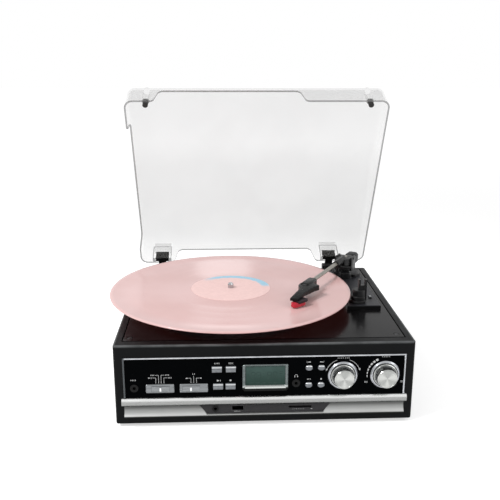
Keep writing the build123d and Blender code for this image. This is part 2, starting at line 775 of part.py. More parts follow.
def usb_socket():
    w = USB_W / 2
    h = USB_H / 2
    t = USB_WALL
    front = -PORT_REACH
    shell = box(USB_X - w - t, USB_X + w + t, front, front + USB_LEN, USB_Z - h - t, USB_Z + h + t)
    shell -= box(USB_X - w, USB_X + w, front - 1, front + USB_LEN - 1, USB_Z - h, USB_Z + h)
    tongue_w = w - USB_TONGUE_GAP
    top = USB_Z + h - USB_TONGUE_GAP
    tongue = box(-tongue_w, tongue_w, front + USB_TONGUE_BACK, front + USB_LEN, top - USB_TONGUE_T, top)
    return shell + Pos(USB_X, 0, 0) * tongue


def card_socket():
    w = CARD_W / 2
    h = CARD_H / 2
    t = CARD_WALL
    back = fascia_back + CARD_LEN
    shell = box(-w - t, w + t, fascia_back, back, -h - t, h + t)
    return Pos(CARD_X, 0, CARD_Z) * (shell - box(-w, w, 0, back - 1, -h, h))


# Inside the cabinet
def main_board():
    """Main board on its four standoffs, with a finned heat sink, a transformer and a row of capacitors."""
    z = BASE_T + STANDOFF_H
    board = box(0, MAIN_BOARD_W, 0, MAIN_BOARD_D, z, z + BOARD_T)
    for x in (STANDOFF_INSET, MAIN_BOARD_W - STANDOFF_INSET):
        for y in (STANDOFF_INSET, MAIN_BOARD_D - STANDOFF_INSET):
            board += rod(STANDOFF_R, x, y, BASE_T, z)
    top = z + BOARD_T
    for x, y, w, d, h in (HEATSINK, TRANSFORMER):
        board += box(x, x + w, y, y + d, top, top + h)
    x, y, w, d, h = HEATSINK
    for fin in range(int(w / FIN_PITCH)):
        x0 = x + FIN_PITCH * fin + (FIN_PITCH - FIN_GAP) / 2
        board -= box(x0, x0 + FIN_GAP, y + d / 4, y + d + 1, top + FIN_ROOT, top + h + 1)
    for x, y in CAPACITOR_PLACES:
        board += rod(CAPACITOR_R, x, y, top, top + CAPACITOR_H)
    return Pos(main_board_x - MAIN_BOARD_W / 2, MAIN_BOARD_Y - MAIN_BOARD_D / 2, 0) * board


def rear_plate():
    back = CABINET_D + REAR_T
    plate = box(-REAR_W / 2, REAR_W / 2, CABINET_D, back, -REAR_H / 2, REAR_H / 2)
    plate = Pos(REAR_X, 0, REAR_Z) * plate
    for x in rca_xs():
        plate -= rod_y(RCA_R, x, REAR_Z, CABINET_D - 1, back + 1)
    return plate - rod_y(INLET_R, inlet_x, REAR_Z, CABINET_D - 1, back + 1)


def rca_xs():
    first = REAR_X - REAR_W / 2 + RCA_INSET
    return (first, first + RCA_PITCH)


def rca_sockets():
    """Phono sockets: an outer sleeve with the round pin hole of the plug in its middle."""
    back = CABINET_D + REAR_T
    sockets = []
    for x in rca_xs():
        socket = rod_y(RCA_R, x, REAR_Z, CABINET_D - RCA_DEPTH, back)
        socket += rod_y(RCA_R - 0.5, x, REAR_Z, back, back + RCA_LEN)
        sockets.append(socket - rod_y(RCA_PIN_R, x, REAR_Z, back, back + RCA_LEN + 1))
    return group(sockets)


def power_inlet():
    back = CABINET_D + REAR_T
    front = CABINET_D - INLET_DEPTH
    body = rod_y(INLET_R, inlet_x, REAR_Z, front, back)
    body += rod_y(INLET_R + INLET_RIM, inlet_x, REAR_Z, back, back + 1)
    body -= rod_y(INLET_BORE_R, inlet_x, REAR_Z, front + 2, back + 2)
    return body + rod_y(INLET_PIN_R, inlet_x, REAR_Z, front + 1, back - 0.5)


# Platter, record and drive
def platter():
    """Turned dish with a skirt outside, the drum that the belt runs on, and the hub."""
    r = PLATTER_R
    top = mat_bottom
    under = platter_bottom
    skirt = top - PLATTER_SKIRT - PLATTER_T
    drum_bottom = under - DRUM_H
    points = [
        (SPINDLE_R, top),
        (MAT_R + 0.5, top),
        (MAT_R + 1.0, top + 1.0),
        (r - 1.0, top + 1.0),
        (r, top),
        (r, skirt),
        (r - PLATTER_SKIRT_T, skirt),
        (r - PLATTER_SKIRT_T, under),
        (DRUM_R, under),
        (DRUM_R, drum_bottom),
        (DRUM_R - DRUM_T, drum_bottom),
        (DRUM_R - DRUM_T, under),
        (HUB_R + 4.0, under),
        (HUB_R, under - 4.0),
        (HUB_R, drum_bottom),
        (SPINDLE_R, drum_bottom),
    ]
    return spun(points, RECORD_X, RECORD_Y)


def platter_mat():
    hole = SPINDLE_R + MAT_HOLE_GAP
    inner = LABEL_R + 1.0
    low = record_bottom - MAT_HOLLOW
    points = [(hole, mat_bottom), (MAT_R, mat_bottom), (MAT_R, record_bottom - 0.5)]
    points += [(MAT_R - 0.5, record_bottom), (inner, record_bottom), (inner - MAT_HOLLOW, low), (hole, low)]
    return spun(points, RECORD_X, RECORD_Y)


def record():
    """Pressed record: raised rim, thinner grooved part, raised middle under the labels."""
    z0 = record_bottom
    z1 = z0 + RECORD_T
    low = z0 + (RECORD_T - RECORD_GROOVE_T) / 2
    high = low + RECORD_GROOVE_T
    rim = RECORD_R - RECORD_RIM
    land = RECORD_LAND_R
    points = [
        (HOLE_R, z0 + LABEL_T),
        (land, z0 + LABEL_T),
        (land + 3, low),
        (rim - 1, low),
        (rim, z0),
        (RECORD_R - 0.6, z0),
        (RECORD_R, z0 + 0.6),
        (RECORD_R, z1 - 0.6),
        (RECORD_R - 0.6, z1),
        (rim, z1),
        (rim - 1, high),
        (land + 3, high),
        (land, z1),
        (HOLE_R, z1),
    ]
    return spun(points, RECORD_X, RECORD_Y)


def record_labels():
    """The two paper labels, one on each side."""
    z1 = record_bottom + RECORD_T
    discs = []
    for low in (record_bottom, z1):
        disc = rod(LABEL_R, RECORD_X, RECORD_Y, low, low + LABEL_T)
        discs.append(disc - rod(HOLE_R, RECORD_X, RECORD_Y, low - 1, low + LABEL_T + 1))
    return group(discs)


def spindle():
    top = record_top + SPINDLE_REACH
    bottom = bearing_top - BEARING_LEN + BEARING_FLOOR + 0.3
    points = [(0, bottom), (SPINDLE_R - 1, bottom), (SPINDLE_R, bottom + 1), (SPINDLE_R, top - 2.5)]
    points += [(SPINDLE_R - 0.9, top - 0.8), (SPINDLE_R - 2.2, top), (0, top)]
    return spun(points, RECORD_X, RECORD_Y)


def bearing_housing():
    """Flanged sleeve under the well, closed below, in which the spindle turns."""
    bottom = bearing_top - BEARING_LEN
    body = rod(BEARING_R, RECORD_X, RECORD_Y, bottom, well_floor)
    body += rod(BEARING_R + 6, RECORD_X, RECORD_Y, bearing_top - 2.5, bearing_top)
    return body - rod(SPINDLE_R + SHAFT_FIT, RECORD_X, RECORD_Y, bottom + BEARING_FLOOR, well_floor + 1)


def loop_face(big, small, distance):
    """The outline of a belt round two pulleys, the small one at +X."""
    a = acos((big - small) / distance)
    tangent = [(big * cos(a), big * sin(a)), (distance + small * cos(a), small * sin(a))]
    points = tangent + [(x, -y) for x, y in reversed(tangent)]
    return Circle(big) + Pos(distance, 0) * Circle(small) + make_face(Polyline(*points, close=True))


pulley_distance = sqrt(PULLEY_X**2 + PULLEY_Y**2)
belt_bottom = platter_bottom - DRUM_H + 4.0


def belt():
    outer = loop_face(DRUM_R + BELT_FIT + BELT_T, PULLEY_R + BELT_FIT + BELT_T, pulley_distance)
    inner = loop_face(DRUM_R + BELT_FIT, PULLEY_R + BELT_FIT, pulley_distance)
    loop = extrude(outer - inner, BELT_H)
    return Pos(RECORD_X, RECORD_Y, belt_bottom) * Rot(0, 0, 135) * loop


def motor():
    top = bearing_top
    body = rod(MOTOR_R, motor_x, motor_y, top - MOTOR_H, top)
    body = fillet(body.edges().sort_by(Axis.Z)[0], 1.5)
    body += rod(3, motor_x, motor_y, top - MOTOR_H - 2, top - MOTOR_H)
    body += box(motor_x - 6, motor_x + 6, motor_y - 3, motor_y + 3, top - MOTOR_H - 5, top - MOTOR_H)
    return body - rod(MOTOR_SHAFT_R + SHAFT_FIT, motor_x, motor_y, top - MOTOR_H + 4, top + 1)


def motor_pulley():
    """Pulley with a flange each side of the belt's crown, on its shaft."""
    low = belt_bottom - 1.5
    high = belt_bottom + BELT_H + 1.5
    shaft_bottom = bearing_top - MOTOR_H + 4.5
    points = [
        (0, shaft_bottom),
        (MOTOR_SHAFT_R, shaft_bottom),
        (MOTOR_SHAFT_R, low - 1.0),
        (PULLEY_R + 1.2, low - 1.0),
        (PULLEY_R + 1.2, low),
        (PULLEY_R, low + 0.6),
        (PULLEY_R, high - 0.6),
        (PULLEY_R + 1.2, high),
        (PULLEY_R + 1.2, high + 0.8),
        (0, high + 0.8),
    ]
    return spun(points, motor_x, motor_y)


# Tonearm, drawn pointing to the front from a pivot at 0, 0 and then turned into place
arm_place = Pos(ARM_X, ARM_Y, 0) * Rot(0, 0, -ARM_ANGLE)


def plan(points, z0, z1):
    """A flat outline made solid from z0 up to z1."""
    return Pos(0, 0, z0) * extrude(make_face(Polyline(*points, close=True)), z1 - z0)


def arm_plate():
    body = box(PLATE_LEFT, PLATE_RIGHT, PLATE_FRONT, plate_back, CABINET_H, plate_top)
    body -= rod(PLATTER_R + 6.0, RECORD_X, RECORD_Y, CABINET_H - 1, plate_top + 1)
    swell = Pos(RECORD_X, RECORD_Y, CABINET_H) * extrude(Circle(PLATE_ARC_R), PLATE_RISE)
    front_part = box(PLATE_LEFT, PLATE_RIGHT, PLATE_FRONT, RECORD_Y + 20, CABINET_H, plate_top)
    body -= front_part & swell
    body = chamfer(body.faces().sort_by(Axis.Z)[-1].edges(), 0.8)
    body -= rod(PIVOT_R + 2, ARM_X, ARM_Y, 0, plate_top + 1)
    body -= box(SPEED_X - 1.9, SPEED_X + 1.9, SPEED_Y - 6, SPEED_Y + 6, CABINET_H + 1, plate_top + 1)
    return body - rod(1.6, LEVER_X, LEVER_Y, CABINET_H, plate_top + 1)


def arm_base():
    """Boss under the arm with the pivot's bore and the guide of the lift post."""
    top = plate_top + ARM_BASE_H
    body = box(ARM_BASE_LEFT, ARM_BASE_RIGHT, ARM_BASE_FRONT, ARM_BASE_BACK, plate_top, top)
    body = fillet(body.edges().filter_by(Axis.Z), 4)
    body = chamfer(body.faces().sort_by(Axis.Z)[-1].edges(), 0.8)
    gx, gy = lift_post_place()
    body += rod(LIFT_POST_R + 2.6, gx, gy, plate_top, top + 4)
    body += plan([(gx, gy - 4), (gx, gy + 4), (ARM_X, ARM_Y + 4), (ARM_X, ARM_Y - 4)], plate_top, top - 1)
    body += rod(PIVOT_R + 2, ARM_X, ARM_Y, CABINET_H - 10, plate_top)
    body -= rod(LIFT_POST_R + SHAFT_FIT, gx, gy, plate_top - 1, top + 5)
    return body - rod(PIVOT_R + SHAFT_FIT, ARM_X, ARM_Y, CABINET_H - 8, top + 1)


def lift_post_place():
    a = radians(LIFT_POST_ANGLE)
    return ARM_X - LIFT_R * sin(a), ARM_Y - LIFT_R * cos(a)


yoke_bottom = plate_top + ARM_BASE_H + YOKE_GAP
yoke_top = arm_z + 2.6


def arm_yoke():
    """Fork on an upright shaft in the base, with a pin in each cheek that the arm rocks on."""
    inner = BLOCK_W / 2 + BLOCK_FIT
    plate = rod(YOKE_R, 0, 0, yoke_bottom, yoke_bottom + YOKE_T)
    cheek = Circle(CHEEK_W / 2) + Pos(0, -(arm_z - yoke_bottom) / 2) * Rectangle(CHEEK_W, arm_z - yoke_bottom)
    for side in (-1, 1):
        slab = extrude(Plane.YZ * cheek, CHEEK_T)
        x = inner if side > 0 else -inner - CHEEK_T
        plate += Pos(x, 0, arm_z) * slab & box(-30, 30, -30, 30, yoke_bottom, yoke_top)
        x0, x1 = sorted((side * (BLOCK_W / 2 - 3.0), side * (inner + CHEEK_T + 0.8)))
        plate += rod_x(ROCK_R, 0, arm_z, x0, x1)
    plate += rod(PIVOT_R, 0, 0, CABINET_H - 7.5, yoke_bottom)
    return arm_place * plate


def weight_stub():
    """The bar behind the block that the weight is clamped on."""
    bar = box(-STUB_W / 2, STUB_W / 2, STUB_START, STUB_END, arm_z - STUB_H, arm_z)
    return chamfer(bar.edges().filter_by(Axis.Y), 1.0)


def arm_block():
    """Rocking block of the arm: a tapered sleeve holds the tube, a stub behind carries the weight."""
    half = BLOCK_W / 2
    under = arm_z - BLOCK_DROP
    over = arm_z + BLOCK_LIFT
    side = [(-BLOCK_FRONT, under), (BLOCK_BACK_LOW, under), (BLOCK_BACK, arm_z - BLOCK_STEP)]
    side += [(BLOCK_BACK_HIGH, over), (-BLOCK_FRONT, over)]
    body = Pos(-half, 0, 0) * extrude(Plane.YZ * make_face(Polyline(*side, close=True)), BLOCK_W)
    tip = BLOCK_TIP_W / 2
    corners = [(-half, -BLOCK_SHOULDER), (-tip, -BLOCK_TIP), (tip, -BLOCK_TIP), (half, -BLOCK_SHOULDER)]
    corners += [(half, BLOCK_BACK + 1), (-half, BLOCK_BACK + 1)]
    body &= plan(corners, under - 1, over + 1)
    sleeve = [(TUBE_R, -SLEEVE_START), (SLEEVE_R + SLEEVE_TAPER, -SLEEVE_START)]
    sleeve += [(SLEEVE_R, -SLEEVE_END), (TUBE_R, -SLEEVE_END)]
    body += Pos(0, 0, arm_z) * revolve(make_face(Polyline(*sleeve, close=True)), Axis.Y)
    body -= rod_y(TUBE_R, 0, arm_z, -SLEEVE_END - 1, TUBE_END)
    body += weight_stub()
    for side in (-1, 1):
        x0, x1 = sorted((side * (half - 3.2), side * (half + 1)))
        body -= rod_x(ROCK_R + SHAFT_FIT, 0, arm_z, x0, x1)
    return arm_place * body


def arm_tube():
    return arm_place * rod_y(TUBE_R, 0, arm_z, -HEAD_START - TUBE_OVERLAP, TUBE_END)


def counterweight():
    """Faceted block on the end of the stub."""
    half = WEIGHT_W / 2
    block = box(-half, half, WEIGHT_START, WEIGHT_END, arm_z - WEIGHT_DROP, arm_z + WEIGHT_LIFT)
    block = chamfer(block.edges().filter_by(Axis.Y), 3.0)
    block = chamfer(block.faces().sort_by(Axis.Y)[-1].edges(), 1.5)
    return arm_place * (block - weight_stub())


def headshell():
    """Moulded shell: a clamp over the tube, a finger lift at the right and a narrow sloping nose."""
    outline = [(-x, -y) for x, y in HEAD_LEFT] + [(x, -y) for x, y in HEAD_NOSE + HEAD_LIFT]
    shape = make_face(Polyline(*outline, close=True))
    body = Pos(0, 0, head_low) * extrude(shape, head_high - head_low)
    slope = Pos(0, -HEAD_SLOPE_START, head_high) * Rot(HEAD_SLOPE, 0, 0) * Pos(0, -30, 5) * Box(60, 60, 10)
    body -= slope
    clamp = box(-CLAMP_W / 2, CLAMP_W / 2, -CLAMP_END, -HEAD_START, head_low + 1, clamp_top)
    clamp = fillet(clamp.edges().filter_by(Axis.Y).sort_by(Axis.Z)[-2:], CLAMP_R)
    clamp = chamfer(clamp.faces().sort_by(Axis.Y)[0].edges().sort_by(Axis.Z)[-1], CLAMP_NOSE)
    body += clamp
    body -= Pos(0, 0, head_low - 1) * extrude(offset(shape, -HEAD_WALL), HEAD_HOLLOW + 1)
    return arm_place * (body - rod_y(TUBE_R, 0, arm_z, -HEAD_START - TUBE_OVERLAP, -HEAD_START + 5))


cartridge_place = arm_place * Pos(STYLUS_SIDE, -STYLUS_REACH, 0) * Rot(0, 0, -CARTRIDGE_TURN)


def cartridge():
    """Cartridge under the shell; the stylus holder plugs on to its front and underside."""
    outline = [(-5.2, 4), (-4.4, 1), (4.4, 1), (5.2, 4), (5.8, 14), (4.6, 18), (-4.6, 18), (-5.8, 14)]
    return cartridge_place * plan(outline, record_top + CARTRIDGE_GAP, head_low)


def stylus():
    """Red stylus holder with a pointed front and a block below the cartridge, and the needle under it."""
    low = record_top + 1.0
    tip = record_top - LABEL_T + STYLUS_GAP
    nose = [(-4.4, 0.8), (-4.0, -2.4), (-2.4, -4.0), (2.4, -4.0), (4.0, -2.4), (4.4, 0.8)]
    body = plan(nose, low, record_top + CARTRIDGE_GAP + 1.4)
    body += plan([(-4.4, 0.8), (4.4, 0.8), (4.8, 13), (-4.8, 13)], low, record_top + CARTRIDGE_GAP - 0.2)
    needle = Cone(0.2, 0.8, low - tip, align=(Align.CENTER, Align.CENTER, Align.MIN))
    return cartridge_place * (body + Pos(0, 0, tip) * needle)


def lift_platform():
    """Curved bar under the arm tube on its lift post."""
    top = arm_z - SLEEVE_R - LIFT_GAP - 0.2
    ring = Circle(LIFT_R + LIFT_W / 2) - Circle(LIFT_R - LIFT_W / 2)
    angles = [radians(LIFT_FIRST + (LIFT_LAST - LIFT_FIRST) * share) for share in (0, 0.5, 1)]
    wedge = [(0, 0)] + [(-2 * LIFT_R * sin(a), -2 * LIFT_R * cos(a)) for a in angles]
    arc = ring & make_face(Polyline(*wedge, close=True))
    bar = Pos(ARM_X, ARM_Y, top - LIFT_T) * extrude(arc, LIFT_T)
    gx, gy = lift_post_place()
    return bar + rod(LIFT_POST_R, gx, gy, plate_top + 1.0, top - LIFT_T)


def arm_rest():
    """Round stepped base and the fork that the parked arm lies in."""
    base = Part()
    for radius, shift, height in REST_STEPS:
        step = rod(radius, REST_X + shift, REST_Y + shift, plate_top, plate_top + height)
        base += chamfer(step.edges().sort_by(Axis.Z)[-1], 0.6)
    x0 = FORK_X - FORK_W / 2
    y0 = FORK_Y - FORK_D / 2
    base += box(x0, x0 + FORK_W, y0, y0 + FORK_D, plate_top + 1.0, fork_top)
    slot = FORK_SLOT / 2
    slot_bottom = arm_z - TUBE_R - LIFT_GAP
    return base - box(FORK_X - slot, FORK_X + slot, y0 - 12, y0 + FORK_D + 12, slot_bottom, fork_top + 5)


def cue_lever():
    """Lever that turns on a stud beside the arm base."""
    z = plate_top + 0.3
    hub = rod(3.4, 0, 0, z, z + 3.2)
    neck = LEVER_LEN - 2.0
    outline = [(0, -2.6), (neck, -2.0), (LEVER_LEN, -1.0), (LEVER_LEN, 1.0), (neck, 2.0), (0, 2.6)]
    stud = rod(1.5, 0, 0, plate_top - 3, z)
    return Pos(LEVER_X, LEVER_Y, 0) * Rot(0, 0, LEVER_ANGLE) * (hub + plan(outline, z + 0.8, z + 3.0) + stud)


def speed_switch():
    z = plate_top
    cap = box(SPEED_X - 1.6, SPEED_X + 1.6, SPEED_Y - 2.2, SPEED_Y + 2.2, CABINET_H + 1.2, z + 2.2)
    return chamfer(cap.faces().sort_by(Axis.Z)[-1].edges(), 0.4)


# Lid and hinges
lid_turn = Pos(0, hinge_y, hinge_z) * Rot(-LID_OPEN, 0, 0) * Pos(0, -hinge_y, -hinge_z)
lid_mid_y = (lid_front + CABINET_D) / 2


def lid_block(inset, height, edge_r):
    """A drafted, rounded block: the lid's outside, or its inside with an inset."""
    base = RectangleRounded(LID_W - 2 * inset, LID_L - 2 * inset, LID_CORNER_R - inset)
    block = extrude(base, height, taper=LID_DRAFT)
    block = fillet(block.faces().sort_by(Axis.Z)[-1].edges(), edge_r)
    return Pos(0, lid_mid_y, lid_rim_z) * block


def notch(low, high):
    """The outline of a cut-out in a lid wall, for the record to pass, from the rim up."""
    s = NOTCH_SLANT / 2
    side = 3 * NOTCH_RIM_R
    top = NOTCH_DEPTH
    points = [(low - side, -1), (low - side, 0), (low - s, 0), (low + s, top)]
    points += [(high - s, top), (high + s, 0), (high + side, 0), (high + side, -1)]
    face = make_face(Polyline(*points, close=True))
    face = fillet(face.vertices().sort_by(Axis.Y)[-2:], NOTCH_R)
    rim = face.vertices().filter_by_position(Axis.Y, -0.01, 0.01).sort_by(Axis.X)
    return fillet(rim[1:-1], NOTCH_RIM_R)


def lid_shell():
    body = lid_block(0.0, LID_H, LID_EDGE_R) - lid_block(LID_T, LID_H - LID_T, LID_EDGE_R - LID_T)
    up = Pos(0, 0, lid_rim_z)
    reach = LID_CORNER_R
    body -= Pos(0, lid_front + reach, 0) * up * extrude(Plane.XZ * notch(*FRONT_NOTCH), reach + 5)
    body -= Pos(0, CABINET_D + 5, 0) * up * extrude(Plane.XZ * notch(*BACK_NOTCH), reach + 5)
    body -= Pos(-LID_W / 2 - 5, 0, 0) * up * extrude(Plane.YZ * notch(*SIDE_NOTCH), reach + 5)
    inner_back_y = CABINET_D - LID_T
    for x in HINGE_X:
        w = POCKET_W / 2
        front = inner_back_y - POCKET_D
        pocket = box(x - w, x + w, front, inner_back_y + 0.5, lid_rim_z, lid_rim_z + LID_H - LID_T)
        leaf_w = LEAF_W / 2 + LEAF_FIT
        leaf_top = lid_rim_z + 1.0 + LEAF_H + LEAF_FIT
        inside = front + POCKET_T
        pocket -= box(x - w + POCKET_T, x + w - POCKET_T, inside, inner_back_y - 0.2, leaf_top + 2.0, lid_top)
        body += pocket & lid_block(0.2, LID_H - 0.2, LID_EDGE_R - 0.2)
        body -= box(x - leaf_w, x + leaf_w, inside, inner_back_y + 0.6, lid_rim_z - 1, leaf_top)
        arm_w = KNUCKLE_W / 2 + LEAF_FIT
        body -= box(x - arm_w, x + arm_w, inside, CABINET_D + 1, lid_rim_z - 1, lid_rim_z + ARM_SLOT_H)
    for x, y in bumper_places():
        body += rod(BUMPER_R + 1.2, x, y, lid_rim_z + 1.0 + BUMPER_H, lid_top - 1)
    return lid_turn * body


def bumper_places():
    y = lid_front + LID_T + BUMPER_R + 0.6
    return [(side * (LID_W / 2 - inset), y) for side, inset in BUMPER_INSETS.items()]


def lid_bumpers():
    pads = []
    for x, y in bumper_places():
        low = lid_rim_z - 0.9
        pads.append(lid_turn * rod(BUMPER_R, x, y, low, lid_rim_z + 1.0 + BUMPER_H))
    return group(pads)


def hinge_leaves():
    """Leaf in each pocket of the lid, with an arm back to a knuckle that has a trunnion each side."""
    inner_back_y = CABINET_D - LID_T
    inside = inner_back_y - POCKET_D + POCKET_T + LEAF_FIT
    leaves = []
    for x in HINGE_X:
        w = LEAF_W / 2
        z0 = lid_rim_z + 0.8
        leaf = box(x - w, x + w, inside, inner_back_y, z0, z0 + LEAF_H)
        leaf -= box(x - 4.4, x - 2.6, inside - 1, inside + 2, z0 + 3.5, z0 + 9.0)
        leaf -= box(x + 2.6, x + 4.4, inside - 1, inside + 2, z0 + 3.5, z0 + 9.0)
        k = KNUCKLE_W / 2
        leaf += box(x - k, x + k, inside + 1, hinge_y, z0, hinge_z + KNUCKLE_R)
        leaf += rod_x(KNUCKLE_R, hinge_y, hinge_z, x - k, x + k)
        trunnion = k + EAR_GAP + EAR_W
        leaf += rod_x(PIN_R, hinge_y, hinge_z, x - trunnion, x + trunnion)
        leaves.append(lid_turn * leaf)
    return group(leaves)


def hinge_brackets():
    """Bracket on the cabinet's back with an ear each side, in which the lid's trunnions turn."""
    k = KNUCKLE_W / 2 + EAR_GAP
    brackets = []
    for x in HINGE_X:
        body = box(x - k - EAR_W, x + k + EAR_W, CABINET_D, CABINET_D + BRACKET_T, bracket_low, hinge_z - 8)
        for x0 in (x - k - EAR_W, x + k):
            front = hinge_y - KNUCKLE_R
            back = hinge_y + KNUCKLE_R
            side = [(CABINET_D, hinge_z - 20), (back, hinge_z - 3), (back, hinge_z)]
            side += [(front, hinge_z), (front, hinge_z - 4), (CABINET_D, hinge_z - 8)]
            body += Pos(x0, 0, 0) * extrude(Plane.YZ * make_face(Polyline(*side, close=True)), EAR_W)
            body += rod_x(KNUCKLE_R, hinge_y, hinge_z, x0, x0 + EAR_W)
        brackets.append(body - rod_x(PIN_R + PIN_FIT, hinge_y, hinge_z, x - 30, x + 30))
    holes = [rod_y(SCREW_SHANK_R, x, z, CABINET_D - 1, CABINET_D + 4) for x, z in bracket_screw_places()]
    return group([bracket - holes for bracket in brackets])


def bracket_screw_places():
    return [(x, z) for x in HINGE_X for z in bracket_screw_zs]


def with_bracket_holes(body):
    for x, z in bracket_screw_places():
        body -= rod_y(SCREW_SHANK_R, x, z, CABINET_D + BRACKET_T - SCREW_LEN, CABINET_D + 1)
    return body


def turned_back(y, z):
    """Where a point of the shut lid is when the lid stands open."""
    a = radians(LID_OPEN)
    dy = y - hinge_y
    dz = z - hinge_z
    return hinge_y + dy * cos(a) + dz * sin(a), hinge_z - dy * sin(a) + dz * cos(a)


lid_corner = turned_back(CABINET_D - LID_H * tan(radians(LID_DRAFT)) - LID_EDGE_R, lid_top - LID_EDGE_R)
left_end = RECORD_X - RECORD_R
right_end = CABINET_W / 2
front_end = -KNOB_REACH
back_end = lid_corner[0] + LID_EDGE_R
origin_x = (left_end + right_end) / 2
origin_y = (front_end + back_end) / 2
PLACE = Pos(-origin_x, -origin_y, FOOT_H)

SOLIDS = {
    "cabinet": lambda: with_bracket_holes(with_case_holes(cabinet())),
    "base_panel": base_panel,
    "feet": feet,
    "deck": deck,
    "case_screws": case_screws,
    "fascia": fascia,
    "fascia_frame": fascia_frame,
    "trim_stripe": trim_stripe,
    "lower_bezel": lower_bezel,
    "port_panel": port_panel,
    "lcd_bezel": lcd_bezel,
    "lcd_window": lcd_window,
    "control_board": control_board,
    "switch_bezels": switch_bezels,
    "knob_collars": knob_collars,
    "audio_jacks": audio_jacks,
    "usb_socket": usb_socket,
    "card_socket": card_socket,
    "main_board": main_board,
    "rear_plate": rear_plate,
    "rca_sockets": rca_sockets,
    "power_inlet": power_inlet,
    "platter": platter,
    "platter_mat": platter_mat,
    "record": record,
    "record_labels": record_labels,
    "spindle": spindle,
    "bearing_housing": bearing_housing,
    "belt": belt,
    "motor": motor,
    "motor_pulley": motor_pulley,
    "arm_plate": arm_plate,
    "arm_base": arm_base,
    "arm_yoke": arm_yoke,
    "arm_block": arm_block,
    "arm_tube": arm_tube,
    "counterweight": counterweight,
    "headshell": headshell,
    "cartridge": cartridge,
    "stylus": stylus,
    "lift_platform": lift_platform,
    "arm_rest": arm_rest,
    "cue_lever": cue_lever,
    "speed_switch": speed_switch,
    "lid_shell": lid_shell,
    "lid_bumpers": lid_bumpers,
    "hinge_leaves": hinge_leaves,
    "hinge_brackets": hinge_brackets,
}


def save(name, shape):
    export_step(PLACE * shape, f"parts/{name}.step")


os.makedirs("parts", exist_ok=True)
for name, make in SOLIDS.items():
    save(name, make())
for name, (x, z) in KEYS.items():
    save(name, key_button(x, z))
for name, (x, z) in OVALS.items():
    save(name, oval_button(x, z))
for name, x in SLIDER_X.items():
    save(name, slider(x))
for name, (x, z) in KNOBS.items():
    save(name, knob(x, z))
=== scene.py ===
import json
from math import cos, pi, radians, sin

import bmesh
import bpy
from mathutils import Matrix, Vector


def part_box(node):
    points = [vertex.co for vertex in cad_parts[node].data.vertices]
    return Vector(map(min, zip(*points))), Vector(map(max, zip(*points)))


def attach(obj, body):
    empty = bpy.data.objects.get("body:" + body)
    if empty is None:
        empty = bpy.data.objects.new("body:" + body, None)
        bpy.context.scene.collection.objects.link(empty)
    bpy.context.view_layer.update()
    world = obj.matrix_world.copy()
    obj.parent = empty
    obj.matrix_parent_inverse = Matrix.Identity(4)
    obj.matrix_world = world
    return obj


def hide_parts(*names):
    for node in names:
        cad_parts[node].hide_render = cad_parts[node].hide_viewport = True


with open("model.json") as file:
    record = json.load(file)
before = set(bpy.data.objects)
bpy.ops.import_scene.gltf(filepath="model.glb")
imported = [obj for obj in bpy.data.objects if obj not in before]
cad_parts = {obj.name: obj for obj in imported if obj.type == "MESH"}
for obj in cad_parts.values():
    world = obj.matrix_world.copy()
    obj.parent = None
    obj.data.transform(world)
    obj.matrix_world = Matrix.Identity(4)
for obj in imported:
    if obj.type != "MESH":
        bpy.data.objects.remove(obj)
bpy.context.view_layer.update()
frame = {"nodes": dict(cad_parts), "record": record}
nodes = frame["nodes"]
mm = 0.001

# The camera of the photograph: in front of the set, a little left of its middle, looking down at the record.
# Its place and lens were fitted to the record's outline, the cabinet's edges and the lid's notches.
# Places here and below are in millimetres from the middle of the cabinet's lower front edge.
case_low, case_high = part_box("cabinet")
home = Vector(((case_low[0] + case_high[0]) / 2, case_low[1], case_low[2]))


def spot(x, y, z):
    """A point given in millimetres from the middle of the cabinet's lower front edge."""
    return home + Vector((x, y, z)) * mm


def sideways(x):
    """The X of a place given in millimetres from the cabinet's middle."""
    return spot(x, 0.0, 0.0).x


def behind(y):
    """The Y of a place given in millimetres behind the cabinet's front."""
    return spot(0.0, y, 0.0).y


def level(z):
    """The Z of a place given in millimetres above the cabinet's underside."""
    return spot(0.0, 0.0, z).z


camera_place = (-49.03, -700.22, 389.82)
camera_right, camera_down, camera_roll = radians(2.61), radians(15.28), radians(0.12)
camera_data = bpy.data.cameras.new("camera")
camera_data.lens = 50.24
camera_data.sensor_width = 36.0
camera_data.clip_start = 0.05
camera = bpy.data.objects.new("camera", camera_data)
bpy.context.scene.collection.objects.link(camera)
camera.matrix_world = (
    Matrix.Translation(spot(*camera_place))
    @ Matrix.Rotation(-camera_right, 4, "Z")
    @ Matrix.Rotation(pi / 2 - camera_down, 4, "X")
    @ Matrix.Rotation(camera_roll, 4, "Z")
)
bpy.context.scene.camera = camera


